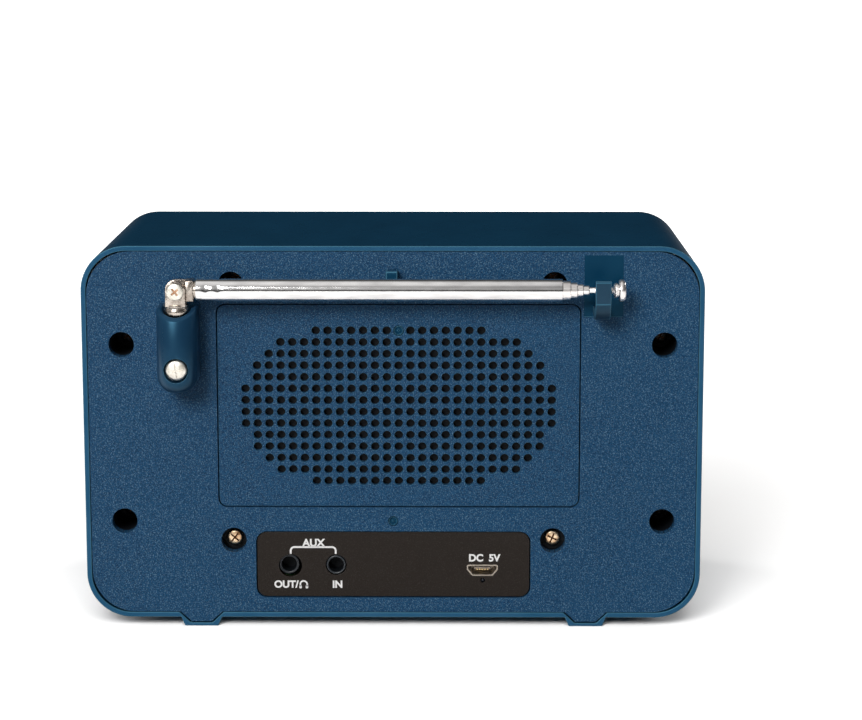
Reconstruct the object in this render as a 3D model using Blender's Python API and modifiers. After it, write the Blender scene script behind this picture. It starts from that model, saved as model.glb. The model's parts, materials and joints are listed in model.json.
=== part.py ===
"""Tabletop radio with a telescopic antenna, as separate pieces.

Metres, +Z up. The origin is on the table under the middle of the case.
The controls face -Y and the ports face +Y.
"""

import math

import bmesh
import bpy
from mathutils import Matrix, Vector

MM = 0.001
GAP = 0.3 * MM  # clearance between touching pieces

# Case
CASE_WIDTH = 150 * MM
CASE_DEPTH = 72 * MM
CASE_TOP = 94 * MM
CASE_BOTTOM = 2.2 * MM
CORNER_RADIUS = 11 * MM
WALL = 2.4 * MM
RIM = 1.25 * MM
REAR_FACE = 35.7 * MM
COVER_THICKNESS = 3.2 * MM
FRONT_FACE = -35.2 * MM
PANEL_THICKNESS = 2.5 * MM

# Feet
FOOT_X = 47.1 * MM
FOOT_BOTTOM_WIDTH = 8.2 * MM
FOOT_TOP_WIDTH = 11.0 * MM
FOOT_LENGTH = 14 * MM
FOOT_WELL_TOP_WIDTH = 10.8 * MM
FOOT_WELL_BOTTOM_WIDTH = 5.3 * MM
FOOT_WELL_FLOOR = 0.8 * MM

# Case screws and the pillars they go into, as (x, z).
# Six sit deep in their wells, and two near the cover's face.
DEEP_WELLS = [
    (65.5 * MM, 70.0 * MM),
    (-65.5 * MM, 70.0 * MM),
    (65.5 * MM, 26.4 * MM),
    (-65.5 * MM, 26.4 * MM),
    (38.9 * MM, 84.7 * MM),
    (-38.9 * MM, 84.7 * MM),
]
SHALLOW_WELLS = [(38.9 * MM, 21.6 * MM), (-38.9 * MM, 21.6 * MM)]
DEEP_FLOOR = 20.0 * MM
SHALLOW_FLOOR = 31.0 * MM
WELL_GROUPS = [("deep", DEEP_WELLS, DEEP_FLOOR), ("shallow", SHALLOW_WELLS, SHALLOW_FLOOR)]
WELL_RADIUS = 3.1 * MM
WELL_BOSS_RADIUS = 4.2 * MM
WELL_FLOOR_THICKNESS = 1.6 * MM
SCREW_HEAD_RADIUS = 1.85 * MM
SCREW_HEAD_HEIGHT = 1.8 * MM
SCREW_SHANK_RADIUS = 0.9 * MM
SCREW_LENGTH = 9 * MM
SCREW_HOLE_RADIUS = 1.25 * MM
PILLAR_RADIUS = 3.0 * MM
PILLAR_BORE_DEPTH = 9 * MM

# Rear grille
GRILLE_X = -1.4 * MM
GRILLE_Z = 54.9 * MM
GRILLE_WIDTH = 87.4 * MM
GRILLE_HEIGHT = 49.6 * MM
GRILLE_CORNER = 2.0 * MM
GRILLE_FACE = 35.4 * MM
GRILLE_THICKNESS = 1.6 * MM
HOLE_PITCH = 2.85 * MM
HOLE_RADIUS = 1.05 * MM
HOLE_ROWS = [15, 21, 23, 25, 25, 27, 27, 27, 27, 25, 25, 23, 21, 15]
LEDGE = 2.2 * MM

# Port plate
PORT_Z = 15.45 * MM
PORT_WIDTH = 66.5 * MM
PORT_HEIGHT = 16.1 * MM
PORT_CORNER = 2.4 * MM
PORT_FACE = 35.3 * MM
PORT_THICKNESS = 1.4 * MM
OUT_JACK = (25.2 * MM, 15.1 * MM)
IN_JACK = (14.0 * MM, 15.3 * MM)
USB_SOCKET = (-21.8 * MM, 13.9 * MM)
CHARGE_LIGHT = (-21.9 * MM, 11.4 * MM)
OUT_JACK_HOLE = 2.85 * MM
IN_JACK_HOLE = 2.75 * MM
JACK_BORE = 1.85 * MM
USB_WIDTH = 7.6 * MM
USB_HEIGHT = 2.8 * MM

# Main board
BOARD_TOP = 12.2 * MM
BOARD_THICKNESS = 1.2 * MM

# Antenna
SWIVEL_X = 51.2 * MM
ANTENNA_Y = 43.0 * MM
ANTENNA_Z = 84.4 * MM
BRACKET_RADIUS = 4.8 * MM
BRACKET_SOCKET_RADIUS = 3.4 * MM
BRACKET_TOP = 80.2 * MM
BRACKET_LIP = 78.2 * MM
BRACKET_BOTTOM = 59.8 * MM
SOCKET_FLOOR = 69.0 * MM
BRACKET_SCREW_Z = 65.6 * MM
EAR_WIDTH = 4.6 * MM
EAR_THICKNESS = 1.5 * MM
EAR_GAP = 2.6 * MM
PIN_RADIUS = 0.9 * MM
TUBE_START = 47.0 * MM
TUBE_OUTER = [2.7 * MM, 2.25 * MM, 1.85 * MM, 1.45 * MM, 1.1 * MM]
TUBE_BORE = [2.35 * MM, 1.95 * MM, 1.55 * MM, 1.2 * MM, 0.8 * MM]
TUBE_END = [-40.5 * MM, -42.4 * MM, -44.0 * MM, -45.4 * MM, -46.8 * MM]
TUBE_INNER_START = 44.0 * MM
ROD_RADIUS = 0.7 * MM
CAP_START = -54.2 * MM
CAP_END = -55.5 * MM
CAP_RADIUS = 2.6 * MM

# Antenna clip
CLIP_X = -49.95 * MM
CLIP_WIDTH = 3.7 * MM
CLIP_TOP = 87.1 * MM
CLIP_ARM_BOTTOM = 76.9 * MM
CLIP_FRONT = 47.3 * MM
CLIP_THICKNESS = 1.6 * MM
CLIP_SEAT_WIDTH = 9.4 * MM
CLIP_SEAT_DEPTH = 1.6 * MM
CLIP_SEAT_X = -50.7 * MM
CLIP_SEAT_BOTTOM = 77.0 * MM

# Front: speaker, dial, knobs and buttons, as (x, z)
SPEAKER = (-31.0 * MM, 53.1 * MM)
SPEAKER_RADIUS = 28 * MM
FRONT_GRILLE_X = -31.5 * MM
FRONT_GRILLE_Z = 55.0 * MM
FRONT_GRILLE_WIDTH = 71 * MM
FRONT_GRILLE_HEIGHT = 62 * MM
SLOT_COUNT = 12
SLOT_PITCH = 4.6 * MM
SLOT_HEIGHT = 2.2 * MM
DIAL = (38.5 * MM, 58.0 * MM)
DIAL_RADIUS = 24 * MM
TUNING_KNOB_RADIUS = 12 * MM
VOLUME = (56.0 * MM, 21.5 * MM)
MODE = (21.5 * MM, 21.5 * MM)
SMALL_KNOB_RADIUS = 7.5 * MM
KNOB_FRONT = -47.8 * MM
SHAFT_RADIUS = 2.5 * MM
POWER_LIGHT = (38.9 * MM, 29.0 * MM)
BUTTON_NAMES = ["button_power", "button_source", "button_down", "button_up", "button_preset"]
BUTTON_Z = 14.6 * MM
BUTTON_FIRST_X = -61 * MM
BUTTON_PITCH = 15 * MM
BUTTON_WIDTH = 11 * MM
BUTTON_HEIGHT = 5 * MM
BUTTON_FRONT = -37.2 * MM

# Colours
NAVY = (0.024, 0.069, 0.138, 1)
DARK_NAVY = (0.012, 0.035, 0.065, 1)
BROWN_BLACK = (0.022, 0.017, 0.013, 1)
BLACK = (0.01, 0.01, 0.01, 1)
CHROME = (0.75, 0.73, 0.70, 1)
BRASS = (0.72, 0.50, 0.22, 1)
GREEN = (0.01, 0.09, 0.03, 1)
CREAM = (0.75, 0.68, 0.52, 1)
AMBER = (0.9, 0.35, 0.05, 1)

ALONG_Y = Matrix.Rotation(math.radians(90), 4, "X")
ALONG_X = Matrix.Rotation(math.radians(90), 4, "Y")


def clear_scene():
    for obj in list(bpy.data.objects):
        bpy.data.objects.remove(obj, do_unlink=True)


def new_collection(name):
    collection = bpy.data.collections.new(name)
    bpy.context.scene.collection.children.link(collection)
    return collection


clear_scene()
PARTS = new_collection("tabletop_radio")
CUTTERS = new_collection("cutters")


def new_object(name, mesh, place=(0, 0, 0)):
    obj = bpy.data.objects.new(name, mesh)
    obj.location = place
    PARTS.objects.link(obj)
    return obj


def finish(obj, colour, roughness=0.5, metallic=0.0):
    """Gives the object its own material and smooth shading with sharp edges."""
    made = bpy.data.materials.new(obj.name)
    made.use_nodes = True
    shader = made.node_tree.nodes["Principled BSDF"]
    shader.inputs["Base Color"].default_value = colour
    shader.inputs["Roughness"].default_value = roughness
    shader.inputs["Metallic"].default_value = metallic
    obj.data.materials.clear()
    obj.data.materials.append(made)
    obj.data.shade_smooth()
    obj.data.set_sharp_from_angle(angle=math.radians(35))
    return obj


def use_as_tool(obj):
    PARTS.objects.unlink(obj)
    CUTTERS.objects.link(obj)
    obj.hide_render = True
    obj.display_type = "WIRE"


def boolean(obj, tools, operation):
    for tool in tools:
        use_as_tool(tool)
        modifier = obj.modifiers.new(tool.name, "BOOLEAN")
        modifier.operation = operation
        modifier.solver = "EXACT"
        modifier.object = tool
    return obj


def cut(obj, *tools):
    return boolean(obj, tools, "DIFFERENCE")


def join(obj, *tools):
    return boolean(obj, tools, "UNION")


def bevel(obj, width, segments=2, angle=40):
    modifier = obj.modifiers.new("bevel", "BEVEL")
    modifier.width = width
    modifier.segments = segments
    modifier.limit_method = "ANGLE"
    modifier.angle_limit = math.radians(angle)
    return obj


def box(name, low, high):
    """A box between two corners, with its origin at its middle."""
    low, high = Vector(low), Vector(high)
    mesh = bpy.data.meshes.new(name)
    bm = bmesh.new()
    bmesh.ops.create_cube(bm, size=1)
    bmesh.ops.scale(bm, vec=high - low, verts=bm.verts)
    bm.to_mesh(mesh)
    bm.free()
    return new_object(name, mesh, (low + high) / 2)


def rods_along_y(name, radius, start, end, places, sides=12, turn=0.0):
    """Equal cylinders along Y at (x, z) places, in one mesh."""
    mesh = bpy.data.meshes.new(name)
    bm = bmesh.new()
    for x, z in places:
        matrix = Matrix.Translation((x, 0, z)) @ ALONG_Y @ Matrix.Rotation(turn, 4, "Z")
        bmesh.ops.create_cone(
            bm, cap_ends=True, segments=sides, radius1=radius, radius2=radius,
            depth=end - start, matrix=matrix,
        )
    bm.to_mesh(mesh)
    bm.free()
    return new_object(name, mesh, (0, (start + end) / 2, 0))


def rod_along_y(name, radius, start, end, place, sides=12):
    rod = rods_along_y(name, radius, start, end, [(0, 0)], sides)
    rod.location = (place[0], (start + end) / 2, place[1])
    return rod


def rod_along_z(name, radius, low, high, place, sides=12):
    mesh = bpy.data.meshes.new(name)
    bm = bmesh.new()
    bmesh.ops.create_cone(bm, cap_ends=True, segments=sides, radius1=radius, radius2=radius, depth=high - low)
    bm.to_mesh(mesh)
    bm.free()
    return new_object(name, mesh, (place[0], place[1], (low + high) / 2))


def arc(centre, radius, start, end, steps):
    """Points on an arc, with its angles in degrees."""
    points = []
    for step in range(steps + 1):
        angle = math.radians(start + (end - start) * step / steps)
        points.append((centre[0] + radius * math.cos(angle), centre[1] + radius * math.sin(angle)))
    return points


def rounded_rectangle(width, height, radius, steps=4):
    x, z = width / 2 - radius, height / 2 - radius
    corners = [((x, z), 0), ((-x, z), 90), ((-x, -z), 180), ((x, -z), 270)]
    return [point for centre, start in corners for point in arc(centre, radius, start, start + 90, steps)]


def flat(name, outlines, start, end, place=(0, 0)):
    """A plate in the XZ plane between two Y values. Outlines after the first are holes."""
    curve = bpy.data.curves.new(name, "CURVE")
    curve.dimensions = "2D"
    curve.fill_mode = "BOTH"
    curve.extrude = (end - start) / 2
    for outline in outlines:
        spline = curve.splines.new("POLY")
        spline.points.add(len(outline) - 1)
        for point, (x, z) in zip(spline.points, outline):
            point.co = (x, z, 0, 1)
        spline.use_cyclic_u = True
    guide = bpy.data.objects.new(name + "_outline", curve)
    PARTS.objects.link(guide)
    guide.matrix_world = Matrix.Translation((place[0], (start + end) / 2, place[1])) @ ALONG_Y
    bpy.context.view_layer.update()
    graph = bpy.context.evaluated_depsgraph_get()
    mesh = bpy.data.meshes.new_from_object(guide.evaluated_get(graph))
    mesh.name = name
    bm = bmesh.new()
    bm.from_mesh(mesh)
    bmesh.ops.remove_doubles(bm, verts=bm.verts, dist=1e-6)
    bmesh.ops.recalc_face_normals(bm, faces=bm.faces)
    bm.to_mesh(mesh)
    bm.free()
    obj = new_object(name, mesh)
    obj.matrix_world = guide.matrix_world
    bpy.data.objects.remove(guide, do_unlink=True)
    return obj


def turned(name, profile, steps, place, turn=None):
    """A shape turned about Z from (radius, height) points, top to bottom, then turned to another axis."""
    mesh = bpy.data.meshes.new(name)
    bm = bmesh.new()
    verts = [bm.verts.new((radius, 0, height)) for radius, height in profile]
    for first, second in zip(verts, verts[1:]):
        bm.edges.new((first, second))
    bm.to_mesh(mesh)
    bm.free()
    obj = new_object(name, mesh)
    screw = obj.modifiers.new("turn", "SCREW")
    screw.steps = steps
    screw.render_steps = steps
    screw.use_merge_vertices = True
    screw.merge_threshold = 1e-6
    obj.matrix_world = Matrix.Translation(place) @ (turn or Matrix.Identity(4))
    return obj


def ring_profile(outer, inner, top, bottom):
    """Closed profile of a ring or a tube."""
    return [(outer, top), (outer, bottom), (inner, bottom), (inner, top), (outer, top)]


def empty(name, place, parent=None):
    made = bpy.data.objects.new(name, None)
    made.empty_display_size = 0.01
    PARTS.objects.link(made)
    made.location = place
    bpy.context.view_layer.update()
    if parent:
        attach(made, parent)
    return made


def attach(obj, parent):
    """Parents the object and leaves it where it is."""
    bpy.context.view_layer.update()
    world = obj.matrix_world.copy()
    obj.parent = parent
    obj.matrix_parent_inverse = parent.matrix_world.inverted()
    obj.matrix_world = world
    return obj


def case_outline(inset):
    """The case's rounded outline, set in from its edge, about the middle of the case."""
    width = CASE_WIDTH - 2 * inset
    height = CASE_TOP - CASE_BOTTOM - 2 * inset
    return rounded_rectangle(width, height, CORNER_RADIUS - inset, 6)


CASE_MIDDLE = (CASE_TOP + CASE_BOTTOM) / 2
TRIM_WIDTH = 1.8 * MM
TRIM_FRONT = -36.4 * MM
TRIM_BACK = -35.5 * MM
# Corners of the tab that the antenna rests on.
REST_LOW = (-1.3 * MM, 35 * MM, 81 * MM)
REST_HIGH = (1.6 * MM, 39.9 * MM, 88.4 * MM)


def foot_prism(name, top_width, bottom_width, top, bottom, start, end, x):
    outline = [
        (top_width / 2, top), (-top_width / 2, top),
        (-bottom_width / 2, bottom), (bottom_width / 2, bottom),
    ]
    return flat(name, [outline], start, end, (x, 0))


def make_cabinet():
    half = CASE_DEPTH / 2
    cabinet = flat("cabinet", [case_outline(0), case_outline(WALL)], -half, half, (0, CASE_MIDDLE))
    feet = []
    for end_name, start in (("rear", half - FOOT_LENGTH), ("front", -half)):
        for side in (1, -1):
            feet.append(foot_prism(
                f"foot_{end_name}_{side}", FOOT_TOP_WIDTH, FOOT_BOTTOM_WIDTH, CASE_BOTTOM + 1.2 * MM, 0,
                start, start + FOOT_LENGTH, side * FOOT_X,
            ))
    join(cabinet, *feet)
    rear_floor = REAR_FACE - COVER_THICKNESS - GAP
    front_floor = FRONT_FACE + PANEL_THICKNESS + GAP
    cut(
        cabinet,
        flat("rear_recess", [case_outline(RIM)], rear_floor, half + 2 * MM, (0, CASE_MIDDLE)),
        flat("front_recess", [case_outline(RIM)], -half - 2 * MM, front_floor, (0, CASE_MIDDLE)),
    )
    for side in (1, -1):
        cut(cabinet, foot_prism(
            f"foot_well_{side}", FOOT_WELL_TOP_WIDTH, FOOT_WELL_BOTTOM_WIDTH, CASE_BOTTOM + RIM + 1 * MM,
            FOOT_WELL_FLOOR, rear_floor, half + 2 * MM, side * FOOT_X,
        ))
    return finish(cabinet, DARK_NAVY, 0.25)


def make_rear_cover():
    back = REAR_FACE - COVER_THICKNESS
    cover = flat("rear_cover", [case_outline(RIM + GAP)], back, REAR_FACE, (0, CASE_MIDDLE))
    slope = 0.5 * MM
    for side in (1, -1):
        join(cover, foot_prism(
            f"cover_tongue_{side}", FOOT_WELL_TOP_WIDTH - slope, FOOT_WELL_BOTTOM_WIDTH - slope,
            CASE_BOTTOM + RIM + 1.3 * MM, FOOT_WELL_FLOOR + GAP, back, REAR_FACE, side * FOOT_X,
        ))
    beyond = REAR_FACE + 3 * MM
    wells, screw_holes = [], []
    for depth, places, floor in WELL_GROUPS:
        bottom = floor - WELL_FLOOR_THICKNESS
        join(cover, rods_along_y(f"{depth}_bosses", WELL_BOSS_RADIUS, bottom, back + 1 * MM, places, 16))
        wells.append(rods_along_y(f"{depth}_wells", WELL_RADIUS, floor, beyond, places, 16))
        screw_holes.append(rods_along_y(
            f"{depth}_holes", SCREW_HOLE_RADIUS, bottom - 1 * MM, floor + 1 * MM, places, 8,
        ))
    join(
        cover,
        bevel(box("antenna_rest", REST_LOW, REST_HIGH), 0.5 * MM, 1),
    )
    cut(
        cover,
        *wells,
        *screw_holes,
        flat(
            "grille_seat",
            [rounded_rectangle(GRILLE_WIDTH + 2 * GAP, GRILLE_HEIGHT + 2 * GAP, GRILLE_CORNER + GAP)],
            GRILLE_FACE - GRILLE_THICKNESS - GAP, beyond, (GRILLE_X, GRILLE_Z),
        ),
        box(
            "grille_opening",
            (GRILLE_X - GRILLE_WIDTH / 2 + LEDGE, back - 1 * MM, GRILLE_Z - GRILLE_HEIGHT / 2 + LEDGE),
            (GRILLE_X + GRILLE_WIDTH / 2 - LEDGE, beyond, GRILLE_Z + GRILLE_HEIGHT / 2 - LEDGE),
        ),
        flat(
            "port_seat",
            [rounded_rectangle(PORT_WIDTH + 2 * GAP, PORT_HEIGHT + 2 * GAP, PORT_CORNER + GAP)],
            PORT_FACE - PORT_THICKNESS - GAP, beyond, (0, PORT_Z),
        ),
        box(
            "port_opening",
            (-PORT_WIDTH / 2 + LEDGE, back - 1 * MM, PORT_Z - PORT_HEIGHT / 2 + LEDGE),
            (PORT_WIDTH / 2 - LEDGE, beyond, PORT_Z + PORT_HEIGHT / 2 - LEDGE),
        ),
        box(
            "clip_seat",
            (CLIP_SEAT_X - CLIP_SEAT_WIDTH / 2, REAR_FACE - CLIP_SEAT_DEPTH, CLIP_SEAT_BOTTOM),
            (CLIP_SEAT_X + CLIP_SEAT_WIDTH / 2, beyond, CASE_TOP),
        ),
        rod_along_y("bracket_screw_hole", 1.6 * MM, back - 1 * MM, beyond, (SWIVEL_X, BRACKET_SCREW_Z), 8),
    )
    return finish(cover, NAVY, 0.55)


def grille_hole_places():
    """Centres of the rear grille's holes. The top row has a moulding gate in place of its middle one."""
    places = []
    for row, count in enumerate(HOLE_ROWS):
        z = ((len(HOLE_ROWS) - 1) / 2 - row) * HOLE_PITCH
        for column in range(count):
            x = (column - (count - 1) / 2) * HOLE_PITCH
            if row or column != count // 2:
                places.append((x, z))
    return places


def make_rear_grille():
    back = GRILLE_FACE - GRILLE_THICKNESS
    grille = flat(
        "rear_grille", [rounded_rectangle(GRILLE_WIDTH, GRILLE_HEIGHT, GRILLE_CORNER)],
        back, GRILLE_FACE, (GRILLE_X, GRILLE_Z),
    )
    holes = rods_along_y(
        "grille_holes", HOLE_RADIUS * 1.12, back - 1 * MM, GRILLE_FACE + 1 * MM,
        grille_hole_places(), 4, math.radians(45),
    )
    holes.location.x += GRILLE_X
    holes.location.z += GRILLE_Z
    cut(grille, holes)
    return finish(grille, NAVY, 0.6)


def make_port_plate():
    back = PORT_FACE - PORT_THICKNESS
    plate = flat(
        "port_plate", [rounded_rectangle(PORT_WIDTH, PORT_HEIGHT, PORT_CORNER)], back, PORT_FACE, (0, PORT_Z),
    )
    start, end = back - 1 * MM, PORT_FACE + 1 * MM
    opening = Vector((USB_WIDTH / 2 + GAP, 0, USB_HEIGHT / 2 + GAP))
    middle = Vector((USB_SOCKET[0], 0, USB_SOCKET[1]))
    cut(
        plate,
        rod_along_y("out_jack_hole", OUT_JACK_HOLE, start, end, OUT_JACK, 20),
        rod_along_y("in_jack_hole", IN_JACK_HOLE, start, end, IN_JACK, 20),
        rod_along_y("charge_light_hole", 0.7 * MM, start, end, CHARGE_LIGHT, 8),
        box("usb_hole", middle - opening + Vector((0, start, 0)), middle + opening + Vector((0, end, 0))),
    )
    return finish(plate, BROWN_BLACK, 0.5)


def make_jack(name, place, barrel_radius, front):
    """A 3.5 mm socket: a block on the board with a barrel that reaches into the port plate."""
    x, z = place
    rear = 20 * MM
    block = box(name, (x - 3.2 * MM, rear, BOARD_TOP + GAP), (x + 3.2 * MM, 32 * MM, z + 3.0 * MM))
    join(block, rod_along_y(name + "_barrel", barrel_radius, 31 * MM, front, place, 20))
    cut(block, rod_along_y(name + "_bore", JACK_BORE, rear + 2 * MM, front + 2 * MM, place, 16))
    return finish(block, BLACK, 0.4)


def make_usb_socket():
    x, z = USB_SOCKET
    wall = 0.35 * MM
    half_width, half_height = USB_WIDTH / 2, USB_HEIGHT / 2
    rear, front = 29.5 * MM, 35.0 * MM
    chamfer = 0.7 * MM
    outer = [
        (half_width, half_height), (-half_width, half_height), (-half_width, -half_height + chamfer),
        (-half_width + chamfer, -half_height), (half_width - chamfer, -half_height),
        (half_width, -half_height + chamfer),
    ]
    inner = [
        (half_width - wall, half_height - wall), (-half_width + wall, half_height - wall),
        (-half_width + wall, -half_height + chamfer), (-half_width + chamfer, -half_height + wall),
        (half_width - chamfer, -half_height + wall), (half_width - wall, -half_height + chamfer),
    ]
    socket = flat("usb_socket", [outer], rear, front, (x, z))
    cut(socket, flat("usb_mouth", [inner], rear + 0.8 * MM, front + 1 * MM, (x, z)))
    join(socket, box(
        "usb_tongue",
        (x - 2.2 * MM, rear + 0.4 * MM, z + 0.1 * MM), (x + 2.2 * MM, front - 0.6 * MM, z + 0.7 * MM),
    ))
    return finish(socket, CHROME, 0.3, 1.0)


def make_boards():
    board = box(
        "main_board", (-34 * MM, 0 * MM, BOARD_TOP - BOARD_THICKNESS), (34 * MM, 32.1 * MM, BOARD_TOP),
    )
    finish(board, GREEN, 0.4)
    switch_board = box("switch_board", (-68 * MM, -27.2 * MM, 10.4 * MM), (6 * MM, -26 * MM, 18.2 * MM))
    finish(switch_board, GREEN, 0.4)
    chip = box("radio_module", (-8 * MM, 5 * MM, BOARD_TOP + GAP), (8 * MM, 21 * MM, BOARD_TOP + 2.4 * MM))
    finish(chip, CHROME, 0.35, 1.0)
    light = rod_along_y("charge_light", 0.4 * MM, 34.0 * MM, 35.1 * MM, CHARGE_LIGHT, 8)
    finish(light, AMBER, 0.2)


def make_screws():
    places = [(place, floor) for _, group, floor in WELL_GROUPS for place in group]
    for number, ((x, z), floor) in enumerate(places, 1):
        seat = floor + GAP
        top, tip = seat + SCREW_HEAD_HEIGHT, seat - SCREW_LENGTH
        profile = [
            (0, top), (SCREW_HEAD_RADIUS * 0.7, top), (SCREW_HEAD_RADIUS, top - 0.6 * MM),
            (SCREW_HEAD_RADIUS, seat), (SCREW_SHANK_RADIUS, seat),
            (SCREW_SHANK_RADIUS, tip + 1 * MM), (0, tip),
        ]
        screw = turned(
            f"case_screw_{number}", profile, 10, (x, 0, z), Matrix.Rotation(math.radians(-90), 4, "X"),
        )
        finish(screw, BRASS, 0.3, 1.0)


def make_front_panel():
    back = FRONT_FACE + PANEL_THICKNESS
    panel = flat("front_panel", [case_outline(RIM + GAP)], FRONT_FACE, back, (0, CASE_MIDDLE))
    bores = []
    for depth, places, floor in WELL_GROUPS:
        pillar_end = floor - WELL_FLOOR_THICKNESS - GAP
        join(panel, rods_along_y(f"{depth}_pillars", PILLAR_RADIUS, back - 1 * MM, pillar_end, places, 10))
        bores.append(rods_along_y(
            f"{depth}_bores", SCREW_HOLE_RADIUS, pillar_end - PILLAR_BORE_DEPTH, pillar_end + 1 * MM,
            places, 8,
        ))
    start, end = FRONT_FACE - 1 * MM, back + 1 * MM
    buttons = [
        box(
            f"button_hole_{index}",
            (x - BUTTON_WIDTH / 2 - GAP, start, BUTTON_Z - BUTTON_HEIGHT / 2 - GAP),
            (x + BUTTON_WIDTH / 2 + GAP, end, BUTTON_Z + BUTTON_HEIGHT / 2 + GAP),
        )
        for index, x in enumerate(button_places())
    ]
    shaft_hole = SHAFT_RADIUS + 0.4 * MM
    cut(
        panel,
        *bores,
        rod_along_y("speaker_hole", 25 * MM, start, end, SPEAKER, 32),
        rods_along_y("shaft_holes", shaft_hole, start, end, [DIAL, VOLUME, MODE], 12),
        rod_along_y("power_light_hole", 1.6 * MM, start, end, POWER_LIGHT, 12),
        *buttons,
    )
    return finish(panel, DARK_NAVY, 0.5)


def make_front_trim():
    outer = RIM + GAP
    trim = flat(
        "front_trim", [case_outline(outer), case_outline(outer + TRIM_WIDTH)], TRIM_FRONT, TRIM_BACK,
        (0, CASE_MIDDLE),
    )
    return finish(trim, CHROME, 0.15, 1.0)


def make_speaker_grille():
    front, back = -37.1 * MM, FRONT_FACE - GAP
    grille = flat(
        "speaker_grille", [rounded_rectangle(FRONT_GRILLE_WIDTH, FRONT_GRILLE_HEIGHT, 6 * MM)],
        front, back, (FRONT_GRILLE_X, FRONT_GRILLE_Z),
    )
    slots = []
    for index in range(SLOT_COUNT):
        z = FRONT_GRILLE_Z + ((SLOT_COUNT - 1) / 2 - index) * SLOT_PITCH
        half = FRONT_GRILLE_WIDTH / 2 - 6 * MM
        slots.append(box(
            f"slot_{index}",
            (FRONT_GRILLE_X - half, front - 1 * MM, z - SLOT_HEIGHT / 2),
            (FRONT_GRILLE_X + half, back + 1 * MM, z + SLOT_HEIGHT / 2),
        ))
    cut(grille, *slots)
    return finish(grille, CREAM, 0.6)


def make_speaker():
    front = FRONT_FACE + PANEL_THICKNESS + GAP
    place = (SPEAKER[0], 0, SPEAKER[1])
    towards_front = ALONG_Y
    flange, rim_depth, magnet_top, magnet_bottom = 1.4 * MM, 3 * MM, 13 * MM, 24 * MM
    basket = [
        (SPEAKER_RADIUS, -front), (SPEAKER_RADIUS, -front - flange), (25.5 * MM, -front - flange),
        (25.0 * MM, -front - rim_depth), (16.5 * MM, -front - magnet_top),
        (16.5 * MM, -front - magnet_bottom),
        (0, -front - magnet_bottom), (0, -front - magnet_top), (14.0 * MM, -front - magnet_top + 1 * MM),
        (23.5 * MM, -front - rim_depth), (24.5 * MM, -front), (SPEAKER_RADIUS, -front),
    ]
    frame = turned("speaker_basket", basket, 32, place, towards_front)
    finish(frame, BLACK, 0.45)
    cone = [
        (24.1 * MM, -front - 0.2 * MM), (23.0 * MM, -front - 2.6 * MM), (13.4 * MM, -front - 11 * MM),
        (0, -front - 11 * MM), (0, -front - 6.5 * MM), (7.5 * MM, -front - 8.6 * MM),
        (21.5 * MM, -front - 0.6 * MM),
        (22.8 * MM, -front + 0.3 * MM), (24.1 * MM, -front - 0.2 * MM),
    ]
    diaphragm = turned("speaker_cone", cone, 32, place, towards_front)
    finish(diaphragm, BLACK, 0.8)


def make_dial_plate():
    """A disc with a printed scale that the tuning knob turns in front of, held by a bright ring."""
    place = (DIAL[0], 0, DIAL[1])
    face, back = 36.5 * MM, -FRONT_FACE + GAP
    hole = SHAFT_RADIUS + 0.4 * MM
    disc = turned("dial_plate", ring_profile(DIAL_RADIUS - 1.6 * MM, hole, face, back), 32, place, ALONG_Y)
    finish(disc, CREAM, 0.45)
    ring = turned(
        "dial_ring",
        [(DIAL_RADIUS - 1.2 * MM, 37.4 * MM), (DIAL_RADIUS - 0.3 * MM, 37.4 * MM), (DIAL_RADIUS, 37.0 * MM),
         (DIAL_RADIUS, back), (DIAL_RADIUS - 1.2 * MM, back), (DIAL_RADIUS - 1.2 * MM, 37.4 * MM)],
        32, place, ALONG_Y,
    )
    finish(ring, CHROME, 0.12, 1.0)


def make_knob(name, shaft_name, control_name, place, radius, base, control_radius, pointer):
    """A knob on its shaft, and the control behind the panel that the shaft turns in."""
    at = (place[0], 0, place[1])
    front = -KNOB_FRONT
    profile = [
        (0, front), (radius * 0.8, front), (radius * 0.9, front - 0.7 * MM), (radius * 0.94, base + 2 * MM),
        (radius, base + 1.4 * MM), (radius, base), (SHAFT_RADIUS + GAP, base),
        (SHAFT_RADIUS + GAP, front - 4 * MM), (0, front - 4 * MM),
    ]
    knob = turned(name, profile, 24, at, ALONG_Y)
    if pointer:
        join(knob, box(
            name + "_pointer",
            (place[0] - 0.6 * MM, -base - 1.3 * MM, place[1] + radius - 1.5 * MM),
            (place[0] + 0.6 * MM, -base - 0.3 * MM, place[1] + DIAL_RADIUS - 3 * MM),
        ))
    finish(knob, BLACK, 0.3)
    panel_back = FRONT_FACE + PANEL_THICKNESS
    shaft = rod_along_y(shaft_name, SHAFT_RADIUS, KNOB_FRONT + 4.3 * MM, panel_back + 6 * MM, place, 12)
    finish(shaft, CHROME, 0.3, 1.0)
    control = turned(
        control_name,
        [(control_radius, -panel_back - GAP), (control_radius, -panel_back - 9 * MM),
         (0, -panel_back - 9 * MM),
         (0, -panel_back - 7 * MM), (SHAFT_RADIUS + GAP, -panel_back - 7 * MM),
         (SHAFT_RADIUS + GAP, -panel_back - GAP), (control_radius, -panel_back - GAP)],
        16, at, ALONG_Y,
    )
    finish(control, CHROME, 0.4, 1.0)
    axis = empty(name + "_axis", (place[0], KNOB_FRONT, place[1]))
    attach(knob, axis)
    attach(shaft, axis)


def button_places():
    return [BUTTON_FIRST_X + index * BUTTON_PITCH for index in range(len(BUTTON_NAMES))]


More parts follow.
